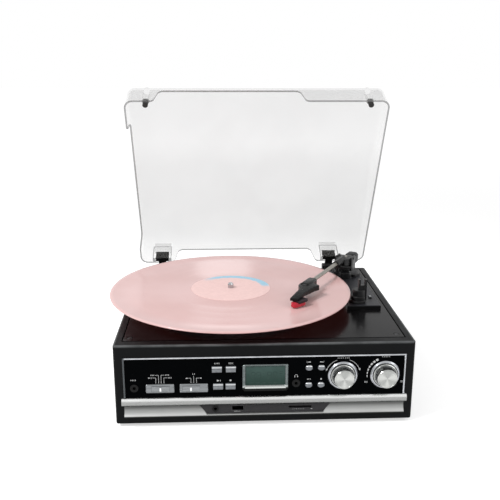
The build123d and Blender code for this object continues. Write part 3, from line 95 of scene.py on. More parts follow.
# The white table of a product photograph, in a white room. It keeps the set's shadow, and glows a little to
# the eye: less where the open lid shows it, and most far away. A soft key lamp stands at the upper left, a
# fill at the right, and a small lamp far behind puts a sheen on the record.
class Wire:
    """A socket of a node tree. Sums on it add Math nodes, and node() adds a node of any other kind."""

    def __init__(self, tree, socket=None):
        self.tree = tree
        self.socket = socket

    def node(self, kind, settings=(), inputs=(), out=0):
        """A new node: its settings are set first, then the values or links of its sockets."""
        new = self.tree.nodes.new(kind)
        for key, value in dict(settings).items():
            if key == "stops":
                fill_ramp(new.color_ramp, value)
            else:
                setattr(new, key, value)
        for key, value in dict(inputs).items():
            place = next(s for s in new.inputs if s.enabled and key in (s.identifier, s.name))
            if isinstance(value, Wire):
                self.tree.links.new(value.socket, place)
            else:
                place.default_value = value
        if isinstance(out, str):
            chosen = next(s for s in new.outputs if s.enabled and out in (s.identifier, s.name))
            return Wire(self.tree, chosen)
        return Wire(self.tree, new.outputs[out]) if len(new.outputs) else Wire(self.tree)

    def maths(self, operation, *values):
        """A Math node on one or two values."""
        places = dict(zip(("Value", "Value_001"), values))
        return self.node("ShaderNodeMath", {"operation": operation}, places)

    def __add__(self, other):
        return self.maths("ADD", self, other)

    def __sub__(self, other):
        return self.maths("SUBTRACT", self, other)

    def __rsub__(self, other):
        return self.maths("SUBTRACT", other, self)

    def __mul__(self, other):
        return self.maths("MULTIPLY", self, other)

    def __abs__(self):
        return self.maths("ABSOLUTE", self)

    __radd__ = __add__
    __rmul__ = __mul__

    def least(self, other):
        """The smaller of this value and another."""
        return self.maths("MINIMUM", self, other)

    def wave(self):
        """The sine of this value in radians, brought between 0 and 1."""
        return self.maths("SINE", self).between(-1.0, 1.0)

    def mix(self, start, end):
        """The colour that goes from start to end as this value goes from 0 to 1."""
        colours = {"Factor_Float": self, "A_Color": start, "B_Color": end}
        return self.node("ShaderNodeMix", {"data_type": "RGBA"}, colours, "Result_Color")

    def part(self, axis):
        """One axis of this vector."""
        return self.node("ShaderNodeSeparateXYZ", (), {"Vector": self}, axis)

    def between(self, low, high, start=0.0, end=1.0):
        """Start at the value low and below, end at the value high and above, and a smooth change between."""
        limits = {"Value": self, "From Min": low, "From Max": high, "To Min": start, "To Max": end}
        return self.node("ShaderNodeMapRange", {"interpolation_type": "SMOOTHSTEP"}, limits)

    def stretched(self, x, y, z):
        """This vector with each axis multiplied."""
        return self.node("ShaderNodeMapping", (), {"Vector": self, "Scale": (x, y, z)})

    def vectors(self, operation, other, out=0):
        """A Vector Math node on this vector and another."""
        places = {"Vector": self, "Vector_001": other}
        return self.node("ShaderNodeVectorMath", {"operation": operation}, places, out)

    def distance(self, point, flat=(1.0, 1.0, 1.0)):
        """How far this vector is from a point, along the axes that flat keeps."""
        kept = self.vectors("SUBTRACT", point).vectors("MULTIPLY", flat)
        return self.node("ShaderNodeVectorMath", {"operation": "LENGTH"}, {"Vector": kept}, "Value")

    def noise(self, size, detail=2.0):
        """Soft random patches on this vector, about size metres across, between 0 and 1."""
        raw = self.node("ShaderNodeTexNoise", (), {"Vector": self, "Scale": 1.0 / size, "Detail": detail})
        return raw.between(0.3, 0.7)

    def rings(self, scale):
        """Fine rings of changing tone, as a lathe leaves them, along this distance from an axis."""
        values = {"W": self, "Scale": scale, "Detail": 2.0}
        return self.node("ShaderNodeTexNoise", {"noise_dimensions": "1D"}, values).between(0.3, 0.7)


def fill_ramp(ramp, stops):
    """A colour ramp's stops as (place, colour) pairs."""
    while len(ramp.elements) < len(stops):
        ramp.elements.new(1.0)
    for element, (place, colour) in zip(ramp.elements, stops):
        element.position = place
        element.color = colour


def shade(red, green, blue):
    """A colour as it looks on a screen, 0 to 255, in the light values that materials hold."""
    screen = [value / 255 for value in (red, green, blue)]
    return tuple(v / 12.92 if v <= 0.04045 else ((v + 0.055) / 1.055) ** 2.4 for v in screen) + (1.0,)


def new_material(name):
    """An empty material, the start of its nodes and the place on the object that they colour."""
    material = bpy.data.materials.new(name)
    material.use_nodes = True
    material.node_tree.nodes.clear()
    w = Wire(material.node_tree)
    return material, w, w.node("ShaderNodeTexCoord", out="Object")


def seen_directly(w):
    """1 for rays from the camera, off a mirror or through glass, and 0 for the light on things."""
    rays = w.node("ShaderNodeLightPath", out="Is Camera Ray")
    source = rays.socket.node
    for name in ("Is Glossy Ray", "Is Transmission Ray"):
        rays = rays + Wire(w.tree, source.outputs[name])
    return rays.least(1.0)


table_colour = (0.80, 0.80, 0.80, 1.0)
table_half = 9.0
glow_near, glow_mid, glow_far = 0.55, 0.34, 0.60
near_reach, mid_reach, far_reach = 0.35, 0.8, 2.8
table_white, w, where = new_material("table_white")
away = where.distance((0.0, 0.0, 0.0))
near_glow = away.between(near_reach, mid_reach, glow_near - glow_mid, 0.0)
glow = seen_directly(w) * (near_glow + away.between(mid_reach, far_reach, glow_mid, glow_far))
matt = w.node("ShaderNodeBsdfDiffuse", (), {"Color": table_colour})
shine = w.node("ShaderNodeEmission", (), {"Color": (1.0, 1.0, 1.0, 1.0), "Strength": glow})
lit = w.node("ShaderNodeAddShader", (), {"Shader": matt, "Shader_001": shine})
w.node("ShaderNodeOutputMaterial", (), {"Surface": lit})
table_mesh = bpy.data.meshes.new("table")
corners = [(x * table_half, y * table_half, 0.0) for x, y in ((-1, -1), (1, -1), (1, 1), (-1, 1))]
table_mesh.from_pydata(corners, [], [(0, 1, 2, 3)])
table_mesh.materials.append(table_white)
table = bpy.data.objects.new("table", table_mesh)
bpy.context.scene.collection.objects.link(table)

room = bpy.data.worlds.new("room")
room.use_nodes = True
room.node_tree.nodes.clear()
w = Wire(room.node_tree)
room_light = 0.55
strength = seen_directly(w) * (1.0 - room_light) + room_light
white = w.node("ShaderNodeBackground", (), {"Color": (1.0, 1.0, 1.0, 1.0), "Strength": strength})
w.node("ShaderNodeOutputWorld", (), {"Surface": white})
bpy.context.scene.world = room
bpy.context.scene.view_settings.view_transform = "Standard"


def soft_lamp(name, place, aim, size, power):
    """A square soft box turned to its aim: its side in metres and its power in watts."""
    data = bpy.data.lights.new(name, "AREA")
    data.shape = "SQUARE"
    data.size = size
    data.energy = power
    lamp = bpy.data.objects.new(name, data)
    turn = (Vector(place) - Vector(aim)).to_track_quat("Z", "Y").to_matrix().to_4x4()
    lamp.matrix_world = Matrix.Translation(place) @ turn
    bpy.context.scene.collection.objects.link(lamp)
    return lamp


set_middle = (0.0, 0.0, 0.1)
soft_lamp("key_lamp", (-1.3, -0.7, 1.6), set_middle, size=0.5, power=32.0)
soft_lamp("fill_lamp", (1.5, -1.0, 0.9), set_middle, size=1.2, power=9.0)
window_place, sheen_place = tuple(spot(-34.0, 1773.0, 567.0)), tuple(spot(-43.0, 239.0, 109.7))
window_lamp = soft_lamp("window_lamp", window_place, sheen_place, size=0.2, power=0.22)
window_lamp.visible_camera = False


# The cabinet: fibre board wrapped in a satin black foil with a fine grain, its edges rounded over. It is the
# node as it stands. A painted highlight makes the foil paler along the front and side edges of the top.
def paint(w, base, roughness, metallic=0.0, relief=None, depth=0.0, **more):
    """The Principled surface of a material. Its relief, from 0 to 1, stands depth metres high."""
    sockets = {"Base Color": base, "Roughness": roughness, "Metallic": metallic}
    sockets.update({key.replace("_", " "): value for key, value in more.items()})
    if relief is not None:
        sockets["Normal"] = w.node("ShaderNodeBump", (), {"Height": relief, "Distance": depth})
    body = w.node("ShaderNodeBsdfPrincipled", (), sockets)
    w.node("ShaderNodeOutputMaterial", (), {"Surface": body})


def finish(material, *names):
    """Gives each named node its material."""
    for name in names:
        nodes[name].data.materials.clear()
        nodes[name].data.materials.append(material)


foil_black, w, where = new_material("foil_black")
grain = where.noise(0.7 * mm, 3.0)
foil_patches = where.noise(30.0 * mm, 3.0)
case_middle = (Vector(case_low) + Vector(case_high)) / 2
case_half = (Vector(case_high) - Vector(case_low)) / 2
across, along, up = (where.part(axis) for axis in "XYZ")
side_gap = case_half.x - abs(across - case_middle.x)
front_gap = case_half.y - (case_middle.y - along)
top_gap = case_half.z - (up - case_middle.z)
edge_light_from, edge_light_to = 0.6 * mm, 3.0 * mm
# Painted highlight: the foil is painted paler along the front and side edges of the top.
side_edge = (side_gap + top_gap).between(edge_light_from, edge_light_to, 1.0, 0.0)
front_edge = (front_gap + top_gap).between(edge_light_from, edge_light_to, 1.0, 0.0)
edges = (side_edge + front_edge).least(1.0) * (foil_patches * 0.5 + 0.5)
satin = grain.mix(shade(12, 13, 14), shade(19, 20, 21))
foil_tone = edges.mix(satin, shade(96, 98, 99))
paint(w, foil_tone, foil_patches * 0.08 + 0.38, relief=grain, depth=0.02 * mm, Specular_IOR_Level=0.065)
finish(foil_black, "cabinet")


# The base panel of bare hardboard with its vents, and four moulded rubber feet under it. The two bumpers on
# the lid's rim are of the same rubber.
hardboard, w, where = new_material("hardboard")
fibres = where.stretched(1.0, 0.35, 1.0).noise(1.2 * mm, 5.0)
stain = where.noise(60.0 * mm, 3.0)
board_tone = fibres.mix(shade(70, 52, 38), shade(104, 82, 62))
paint(w, stain.mix(board_tone, shade(84, 66, 50)), 0.82, relief=fibres, depth=0.08 * mm)
finish(hardboard, "base_panel")

foot_rubber, w, where = new_material("foot_rubber")
dust = where.noise(4.0 * mm, 4.0)
pores = where.noise(0.5 * mm)
paint(w, dust.mix(shade(20, 20, 20), shade(38, 37, 36)), dust * 0.15 + 0.7, relief=pores, depth=0.03 * mm)
finish(foot_rubber, "feet", "lid_bumpers")


# The deck: a moulded panel of glossy black plastic, dropped in a rebate of the cabinet. It mirrors the
# record above it, and its dust and fine scratches run at random. A thin matt black strip round it is a
# painted shadow: it stands for the shade in the gap between the deck and the cabinet.
deck_gloss, w, where = new_material("deck_gloss")
dust = where.noise(0.9 * mm, 4.0)
haze = where.noise(50.0 * mm, 3.0)
scratch = where.stretched(1.0, 0.04, 1.0).noise(0.6 * mm, 2.0)
deck_tone = dust.mix(shade(13, 13, 14), shade(18, 17, 18))
paint(w, deck_tone, haze * 0.07 + 0.17, relief=scratch, depth=0.0015 * mm, Specular_IOR_Level=0.08)
finish(deck_gloss, "deck")

# Painted shadow: a matt black strip on the deck's rim, in place of the shade in the gap round it.
seam_shadow_black, w, where = new_material("seam_shadow_black")
pores = where.noise(0.6 * mm, 3.0)
seam_shadow_tone = pores.mix(shade(2, 2, 2), shade(7, 7, 7))
paint(w, seam_shadow_tone, 0.9, relief=pores, depth=0.04 * mm, Specular_IOR_Level=0.0)
deck_low, deck_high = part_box("deck")
seam_width, seam_rise, seam_sunk = 1.0 * mm, 0.06 * mm, -0.3 * mm
bodies = frame["record"]["behaviour"]["bodies"]
body_of_node = {node: body for body, group in bodies.items() for node in group}


def settle(piece, like, *replaced):
    """A finished piece rides on the body of the node that it is like, and the nodes that it replaces are
    hidden.
    """
    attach(piece, body_of_node[like])
    if replaced:
        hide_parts(*replaced)
    return piece


def built(name, solid, material, smooth_below=0.0):
    """A finished mesh from bmesh. Edges that bend less than smooth_below degrees are shaded smooth."""
    bmesh.ops.recalc_face_normals(solid, faces=solid.faces)
    mesh = bpy.data.meshes.new(name)
    for edge in solid.edges:
        edge.smooth = edge.calc_face_angle(pi) < radians(smooth_below)
    solid.to_mesh(mesh)
    solid.free()
    mesh.materials.append(material)
    mesh.polygons.foreach_set("use_smooth", [smooth_below > 0.0] * len(mesh.polygons))
    piece = bpy.data.objects.new(name, mesh)
    bpy.context.scene.collection.objects.link(piece)
    return piece


def seam_strip():
    """A closed square frame that lies on the rim of the deck."""
    solid = bmesh.new()
    rings = []
    profile = ((0.0, seam_sunk), (0.0, seam_rise), (seam_width, seam_rise), (seam_width, seam_sunk))
    for drawn, rise in profile:
        x0, y0 = deck_low[0] + drawn, deck_low[1] + drawn
        x1, y1 = deck_high[0] - drawn, deck_high[1] - drawn
        z = deck_high[2] + rise
        rings.append([solid.verts.new((x, y, z)) for x, y in ((x0, y0), (x1, y0), (x1, y1), (x0, y1))])
    for k in range(4):
        low, high = rings[k], rings[(k + 1) % 4]
        for i in range(4):
            solid.faces.new((low[i], low[(i + 1) % 4], high[(i + 1) % 4], high[i]))
    return solid


settle(built("deck_seam", seam_strip(), seam_shadow_black), "deck")


# Fourteen pan head screws of dark plated steel, with a slot in each head, hold the deck, the base and the
# two hinge brackets at the back. The brackets are pressed from the same steel.
screw_steel, w, where = new_material("screw_steel")
tarnish = where.noise(1.2 * mm, 3.0)
paint(w, tarnish.mix(shade(34, 34, 36), shade(70, 70, 72)), tarnish * 0.2 + 0.3, metallic=0.9)
finish(screw_steel, "case_screws", "hinge_brackets")


# The front panel: a moulding in gloss black with the openings of all the controls, pressed into a rebate
# of the cabinet behind a thin chrome frame. Under it lie a bowed bright stripe and a silver moulding whose
# hollow face comes forward to a lip, parted in the middle by the dark panel of the lower sockets.
panel_gloss, w, where = new_material("panel_gloss")
dust = where.noise(1.1 * mm, 3.0)
smear = where.stretched(0.4, 1.0, 1.0).noise(20.0 * mm, 3.0)
ripple = where.noise(20.0 * mm, 2.0)
panel_tone = dust.mix(shade(1, 2, 3), shade(3, 4, 5))
paint(w, panel_tone, smear * 0.08 + 0.1, relief=ripple, depth=0.01 * mm, Specular_IOR_Level=0.012)
finish(panel_gloss, "fascia")

frame_left = -153.0
frame_chrome, w, where = new_material("frame_chrome")
# Painted shade: the frame's left upright is painted darker than the rest of the chrome.
shaded_left_side = where.part("X").between(sideways(frame_left - 0.4), sideways(frame_left + 0.4), 1.0, 0.0)
polish = where.noise(12.0 * mm, 3.0)
chrome_tone = shaded_left_side.mix(polish.mix(shade(168, 170, 174), shade(190, 192, 196)), shade(74, 77, 79))
paint(w, chrome_tone, polish * 0.06 + 0.2, metallic=1.0)
finish(frame_chrome, "fascia_frame")


def banded(name, low, high, tones, rough, metal):
    """A bright moulding whose tone changes with height between two levels: painted highlights and shade."""
    material, w, where = new_material(name)
    limits = {"Value": where.part("Z"), "From Min": level(low), "From Max": level(high)}
    rise = w.node("ShaderNodeMapRange", (), limits)
    stops = [(place, shade(tone, tone + 1, tone)) for place, tone in tones]
    colour = w.node("ShaderNodeValToRGB", {"stops": stops}, {"Fac": rise}, "Color")
    brush = where.stretched(0.02, 1.0, 1.0).noise(0.4 * mm, 3.0)
    dull = where.noise(20.0 * mm, 3.0)
    lines = brush.mix((0.93, 0.93, 0.93, 1.0), (1.0, 1.0, 1.0, 1.0))
    layers = {"Factor_Float": 1.0, "A_Color": colour, "B_Color": lines}
    worn = w.node("ShaderNodeMix", {"data_type": "RGBA", "blend_type": "MULTIPLY"}, layers, "Result_Color")
    paint(w, worn, dull * 0.06 + rough, metal)
    return material


# Painted highlights and shade: bands of tone by height stand for the light on the curved stripe and
# moulding.
stripe_painted_light = [(0.0, 150), (0.25, 146), (0.6, 150), (0.74, 222), (0.9, 226), (1.0, 200)]
moulding_painted_light = [(0.0, 26), (0.09, 34), (0.14, 184), (0.3, 178)]
moulding_painted_light += [(0.5, 156), (0.78, 104), (0.92, 88), (1.0, 92)]
moulding_foot, stripe_foot, stripe_top = 9.3, 21.5, 31.5
finish(banded("bright_stripe", stripe_foot, stripe_top, stripe_painted_light, 0.24, 1.0), "trim_stripe")
finish(banded("silver_moulding", moulding_foot, stripe_foot, moulding_painted_light, 0.36, 0.8), "lower_bezel")

port_grey, w, where = new_material("port_grey")
grain = where.noise(0.6 * mm, 3.0)
port_tone = grain.mix(shade(46, 46, 48), shade(58, 57, 58))
paint(w, port_tone, 0.46, relief=grain, depth=0.02 * mm, Specular_IOR_Level=0.12)
finish(port_grey, "port_panel")


# The display: a liquid crystal glass, grey-green and unlit, whose ghost figures show a shade darker than the
# glass. Its silver bezel is bevelled all round and swells into a chin below, painted bright as a painted
# highlight, over a painted shade along its foot.
chin_foot, chin_top, chin_front, chin_back = 41.7, 44.2, -4.2, -1.9
glass_foot, glass_top = 44.0, 68.0
bezel_silver, w, where = new_material("bezel_silver")
# Painted highlight: the chin's face is painted near white, less so further back.
chin = where.part("Z").between(level(chin_top), level(chin_top + 0.5), 1.0, 0.0)
chin = chin * where.part("Y").between(behind(chin_front), behind(chin_back), 1.0, 0.35)
lacquer = where.noise(3.0 * mm, 3.0).mix(shade(94, 101, 101), shade(110, 117, 117))
lacquer = chin.mix(lacquer, shade(232, 235, 232))
# Painted shade: the bezel is painted near black along its foot.
under = where.part("Z").between(level(chin_foot), level(chin_foot + 0.6), 1.0, 0.0)
paint(w, under.mix(lacquer, shade(16, 17, 17)), where.noise(8.0 * mm) * 0.08 + 0.24, metallic=0.8)
finish(bezel_silver, "lcd_bezel")

glass_green, w, where = new_material("glass_green")
# Painted shade: the glass is painted darker towards its foot.
rise = where.part("Z").between(level(glass_foot), level(glass_top))
cloud = where.noise(10.0 * mm, 3.0)
glass_tone = rise.mix(shade(34, 58, 51), cloud.mix(shade(56, 78, 73), shade(63, 85, 80)))
paint(w, glass_tone, cloud * 0.05 + 0.16, Specular_IOR_Level=0.15)
finish(glass_green, "lcd_window")


def from_plan(name, outlines, back, front, material):
    """Closed plates drawn on the front of the set, (x, z) outlines in millimetres, from back to front."""
    solid = bmesh.new()
    for outline in outlines:
        ring = [solid.verts.new(spot(x, back, z)) for x, z in outline]
        face = solid.faces.new(ring)
        grown_faces = bmesh.ops.extrude_face_region(solid, geom=[face])
        moved = [item for item in grown_faces["geom"] if isinstance(item, bmesh.types.BMVert)]
        bmesh.ops.translate(solid, verts=moved, vec=(0.0, (front - back) * mm, 0.0))
    return built(name, solid, material)


def bar(x0, z0, x1, z1, width):
    """The outline of a straight stroke between two points."""
    away = Vector((x1 - x0, z1 - z0)).normalized() * width / 2
    across = Vector((-away.y, away.x))
    start, end = Vector((x0, z0)) - away * 0.5, Vector((x1, z1)) + away * 0.5
    return [tuple(point) for point in (start + across, start - across, end - across, end + across)]


glass_front, ghost_proud = -1.1, 0.04
ghost_height, ghost_width, ghost_stroke, ghost_gap = 7.6, 4.2, 0.75, 0.5
figures_foot, dots, steps_foot, steps_pitch, dashes_level = 52.4, (54.6, 57.8), 50.2, 2.6, 47.4
ghost_ink, w, where = new_material("ghost_ink")
paint(w, where.noise(4.0 * mm).mix(shade(42, 62, 57), shade(50, 70, 65)), 0.2, Specular_IOR_Level=0.15)


def figure(x, z):
    """The seven strokes of one display figure, with its lower left corner at x, z."""
    half = ghost_height / 2
    levels = (z, z + half, z + ghost_height)
    strokes = [bar(x + ghost_gap, rung, x + ghost_width - ghost_gap, rung, ghost_stroke) for rung in levels]
    for side in (x, x + ghost_width):
        for foot in (z, z + half):
            strokes.append(bar(side, foot + ghost_gap, side, foot + half - ghost_gap, ghost_stroke))
    return strokes


ghosts = []
for start in (-15.5, -9.4, 2.4, 8.5):
    ghosts += figure(start, figures_foot)
ghosts += [bar(-2.2, dot, -1.4, dot, 0.8) for dot in dots]
for step in range(5):
    height = steps_foot + steps_pitch * step
    ghosts.append(bar(15.6, height, 17.0 + 0.5 * step, height, 1.0))
for start in (-17.0, -10.4, -3.8, 2.8, 9.4):
    ghosts.append(bar(start, dashes_level, start + 3.8, dashes_level, 1.1))
settle(from_plan("display_ghosts", ghosts, glass_front, glass_front - ghost_proud, ghost_ink), "lcd_window")


# The white print of the panel: plain ticks, bars, arcs, arrow heads and common symbols by the controls. It
# stands a hair proud of the gloss black moulding, and so does the small print on the lower panel.
panel_front, port_front = -0.3, -1.0
print_proud = 0.05
white_ink, w, where = new_material("white_ink")
thin = where.noise(0.8 * mm, 3.0)
paint(w, thin.mix(shade(176, 178, 178), shade(216, 217, 216)), 0.5, relief=thin, depth=0.004 * mm)


def arc(x, z, radius, first, last, width_first, width_last, steps=18):
    """The outline of a stroke along an arc. Its angles run in degrees from the right, up through the top."""
    outer, inner = [], []
    for step in range(steps + 1):
        share = step / steps
        turn = radians(first + (last - first) * share)
        half = (width_first + (width_last - width_first) * share) / 2
        outer.append((x + (radius + half) * cos(turn), z + (radius + half) * sin(turn)))
        inner.append((x + (radius - half) * cos(turn), z + (radius - half) * sin(turn)))
    return outer + inner[::-1]


def arrow(x, z, turn, size):
    """The outline of an arrow head with its tip at x, z."""
    turn = radians(turn)
    away = Vector((cos(turn), sin(turn)))
    across = Vector((-away.y, away.x)) * size * 0.45
    foot = Vector((x, z)) - away * size
    return [(x, z), tuple(foot + across), tuple(foot - across)]


hair, stroke = 0.35, 0.55


def ticks(x, foot, top, places, width=stroke):
    """Short standing strokes beside each other, at their places from x."""
    return [bar(x + place, foot, x + place, top, width) for place in places]


def guide(x, foot, top, reach):
    """A thin line that rises from a switch's place and then turns out to its ticks."""
    return [bar(x, foot, x, top, hair), bar(x, top, x + reach, top, hair)]


# Round the tuning knob: an arc with an arrow head on each side, and a row of ticks above.
tuning, volume = (85.6, 54.3), (132.5, 54.3)
arc_radius, arrow_radius, arrow_size = 19.4, 19.6, 2.6
marks = []
for side, first, last, turn in ((-1, 110.0, 158.0, 252.0), (1, 70.0, 22.0, -72.0)):
    marks.append(arc(*tuning, arc_radius, first, last, hair, stroke))
    tip = radians(last - 6 * side)
    tip_x, tip_z = tuning[0] + arrow_radius * cos(tip), tuning[1] + arrow_radius * sin(tip)
    marks.append(arrow(tip_x, tip_z, turn, arrow_size))
marks += ticks(tuning[0], 74.4, 75.4, (-6, -4, -2, 0, 2, 4, 6))

# Round the volume knob: seven dashes that widen as the sound grows, ticks above, and a mark at each end.
dashes, dash_first, dash_step, dash_length, dash_radius = 7, 188.0, 11.0, 7.5, 20.0
for step in range(dashes):
    first = dash_first - step * dash_step
    width = 0.7 + 1.6 * step / (dashes - 1)
    marks.append(arc(*volume, dash_radius, first, first - dash_length, width, width + 0.2, 4))
marks += ticks(volume[0], 75.2, 76.2, (-2, 2)) + ticks(volume[0], 75.2, 76.6, (-4, 0, 4))
marks += ticks(volume[0] - 21.0, 45.0, 46.6, (-1.2, 0, 1.2))
marks += [bar(volume[0] + 17.6, height, volume[0] + 21.4, height, stroke) for height in (45.0, 46.4)]

# Above the two switches: one guide line for each place of the slider.
left_switch, right_switch = -115.2, -78.4
guide_foot = 49.8
for x, top, reach in ((-4.4, 55.0, -3.4), (-1.4, 58.2, -3.6), (1.4, 58.2, 3.6), (4.4, 55.0, 3.4)):
    marks += guide(left_switch + x, guide_foot, top, reach)
    marks += ticks(left_switch + x, 48.6, 49.6, (0,))
    far = left_switch + x + reach + (3.0 if reach > 0 else -3.0)
    marks += ticks(far, top - 0.6, top + 0.6, (-1.5, 0, 1.5))
for x, top, reach in ((-3.0, 54.0, -2.6), (0.0, 56.6, 0.01), (3.0, 54.0, 2.6)):
    marks += guide(right_switch + x, guide_foot, top, reach)
    marks += ticks(right_switch + x, 48.6, 49.4, (0,))
marks += ticks(right_switch, 58.4, 59.4, (-1.0, 1.0))
marks += [bar(right_switch + x, 54.0, right_switch + x + 1.6, 54.0, 0.9) for x in (-8.4, 6.8)]

# Above each of the eight buttons: a common sign or a few bars.
button_spots = {
    "button_band": (-53.0, 64.3),
    "button_mode": (-37.8, 64.3),
    "button_play": (-51.8, 44.0),
    "button_record": (-38.2, 44.0),
    "button_skip_back": (48.0, 64.2),
    "button_skip_next": (61.6, 64.2),
    "button_folder": (48.0, 43.8),
    "button_stop": (61.6, 43.8),
}
sign_gap = 6.6
sign = {name: (x, z + sign_gap) for name, (x, z) in button_spots.items()}
x, z = sign["button_band"]
marks += ticks(x, z - 0.6, z + 0.6, (-2.4, -0.8, 0.8, 2.4))
x, z = sign["button_mode"]
marks += [bar(x - 2.4, z + rise, x + 2.4, z + rise, hair) for rise in (-0.6, 0.4)]
x, z = sign["button_play"]
marks.append(arrow(x + 1.4, z, 0.0, 2.6))
marks += ticks(x, z - 0.9, z + 0.9, (2.4,))
marks.append(arc(*sign["button_record"], 0.6, 0.0, 350.0, 0.9, 0.9))
for name, turn, reach in (("button_skip_back", 180.0, -1.0), ("button_skip_next", 0.0, 1.0)):
    x, z = sign[name]
    marks += [arrow(x + reach * step, z, turn, 1.7) for step in (0.2, 1.7)]
    marks += ticks(x, z - 0.8, z + 0.8, (reach * 2.3,), hair)
x, z = sign["button_folder"]
marks += ticks(x, z - 0.7, z + 0.7, (-1.6, -0.1, 1.4))
x, z = sign["button_stop"]
marks.append([(x + 0.8 * right, z + 0.8 * up) for right, up in ((-1, -1), (1, -1), (1, 1), (-1, 1))])

# Above the two jacks: four ticks, and a pair of earphones on their band.
line_jack, phones_jack = -146.5, 34.0
marks += ticks(line_jack, 52.0, 53.2, (0, 1.6, 3.2, 4.8))
marks.append(arc(phones_jack, 54.6, 1.5, -20.0, 200.0, hair, hair))
marks += ticks(phones_jack, 53.2, 54.4, (-1.5, 1.5), 0.8)
settle(from_plan("panel_print", marks, panel_front, panel_front - print_proud, white_ink), "fascia")
port_marks = ticks(-34.0, 13.0, 13.9, (0, 1.2, 2.4, 3.6, 4.8, 6.0), hair)
port_marks += ticks(31.0, 14.6, 15.3, range(0, 14, 2), hair)
port_marks.append(bar(51.0, 14.8, 52.6, 14.8, 0.5))
settle(from_plan("port_print", port_marks, port_front, port_front - print_proud, white_ink), "port_panel")


# Eight push buttons: silver caps of two shapes. The oblong ones have a crest along the middle, with a face
# above it that leans back to the light, and the oval ones are domed. Each slides in its own opening. A band
# on the upper face of each cap is a painted highlight, and its lower lip is a painted shade.
upper_row, lower_row = 64.25, 43.9
cap_silver, w, where = new_material("cap_silver")
to_upper, to_lower = (where.part("Z") - level(row) for row in (upper_row, lower_row))
top_row = to_upper.between(-10.0 * mm, -9.0 * mm)
rise = to_upper * top_row + to_lower * (1.0 - top_row)
# Painted highlight in a band above the crest height, and painted shade along the lower lip of each cap.
crest = rise.between(1.4 * mm, 1.8 * mm) * rise.between(2.7 * mm, 3.1 * mm, 1.0, 0.0)
lip = rise.between(-3.1 * mm, -2.6 * mm, 1.0, 0.0)
dull = where.noise(4.0 * mm, 3.0)
face_tone = crest.mix(dull.mix(shade(106, 109, 113), shade(120, 123, 126)), shade(206, 209, 211))
paint(w, lip.mix(face_tone, shade(52, 54, 56)), dull * 0.08 + 0.28, metallic=0.8)
finish(cap_silver, *button_spots)

ovals = ("button_skip_back", "button_skip_next", "button_folder", "button_stop")
button_front = -2.5
key_half, key_round = 5.4, 0.22 * mm
key_side = [(1.5, -3.5), (button_front + 0.25, -3.5), (button_front, -3.0), (button_front, 0.2)]
key_side += [(button_front + 1.0, 3.2), (button_front + 1.3, 3.5), (1.5, 3.5)]
oval_wide, oval_high, oval_back, oval_corners = 4.0, 3.2, 1.6, 40
dome_draw, dome_rise = 1.9, 1.1


def key_cap(name):
    """An oblong cap: one side profile, with its crest half way up, drawn through the width and rounded."""
    x, z = button_spots[name]
    solid = bmesh.new()
    sides = []
    for half in (-key_half, key_half):
        sides.append([solid.verts.new(spot(x + half, y, z + rise)) for y, rise in key_side])
    for ring in sides:
        solid.faces.new(ring)
    for i in range(len(key_side)):
        j = (i + 1) % len(key_side)
        solid.faces.new((sides[0][i], sides[0][j], sides[1][j], sides[1][i]))
    bmesh.ops.bevel(solid, geom=list(solid.edges), offset=key_round, segments=2, profile=0.5, affect="EDGES")
    return settle(built(name + "_cap", solid, cap_silver, 50.0), name, name)


def oval_cap(name):
    """An oval cap: rings of one oval outline, drawn in step by step to a dome."""
    x, z = button_spots[name]
    rings = [(0.0, oval_back), (0.0, button_front + dome_rise)]
    for slope in (radians(15 * k) for k in range(1, 6)):
        rings.append((dome_draw * (1 - cos(slope)), dome_rise * (1 - sin(slope)) + button_front))
    solid = bmesh.new()
    turns = [2 * pi * i / oval_corners for i in range(oval_corners)]
    loops = []
    for drawn, y in rings:
        wide, high = oval_wide - drawn, oval_high - drawn
        loops.append([solid.verts.new(spot(x + wide * cos(t), y, z + high * sin(t))) for t in turns])
    for low, high in zip(loops, loops[1:]):
        for i in range(oval_corners):
            j = (i + 1) % oval_corners
            solid.faces.new((low[i], low[j], high[j], high[i]))
    top = solid.verts.new(spot(x, button_front, z))
    for i in range(oval_corners):
        solid.faces.new((loops[-1][i], loops[-1][(i + 1) % oval_corners], top))
    solid.faces.new(loops[0])
    return settle(built(name + "_cap", solid, cap_silver, 50.0), name, name)


for name in button_spots:
    (oval_cap if name in ovals else key_cap)(name)


# Two slide switches: a silver pod round each slot, and a wide cap with a raised bar that slides in front of
# it. The small speed switch on the arm's plate has a cap of the same metal paint. The pods' lower edges are
# a painted shade, and the front of each raised bar is a painted highlight.
pod_foot, ridge_foot = 37.8, -3.1
pod_silver, w, where = new_material("pod_silver")
# Painted shade: the pod is painted dark along its lower edge.
lip = where.part("Z").between(level(pod_foot), level(pod_foot + 0.6), 1.0, 0.0)
brush = where.stretched(0.05, 1.0, 1.0).noise(0.8 * mm, 3.0)
pod_tone = brush.mix(shade(112, 115, 117), shade(132, 135, 137))
paint(w, lip.mix(pod_tone, shade(60, 62, 63)), brush * 0.06 + 0.26, metallic=0.9)
finish(pod_silver, "switch_bezels")

slide_silver, w, where = new_material("slide_silver")
# Painted highlight: the front face of the raised bar is painted near white.
ridge = where.part("Y").between(behind(ridge_foot - 0.3), behind(ridge_foot), 1.0, 0.0)
brush = where.stretched(0.05, 1.0, 1.0).noise(0.6 * mm, 3.0)
slide_tone = brush.mix(shade(116, 119, 121), shade(136, 139, 141))
paint(w, ridge.mix(slide_tone, shade(226, 227, 228)), brush * 0.06 + 0.24, metallic=0.9)
finish(slide_silver, "function_slider", "record_slider", "speed_switch")


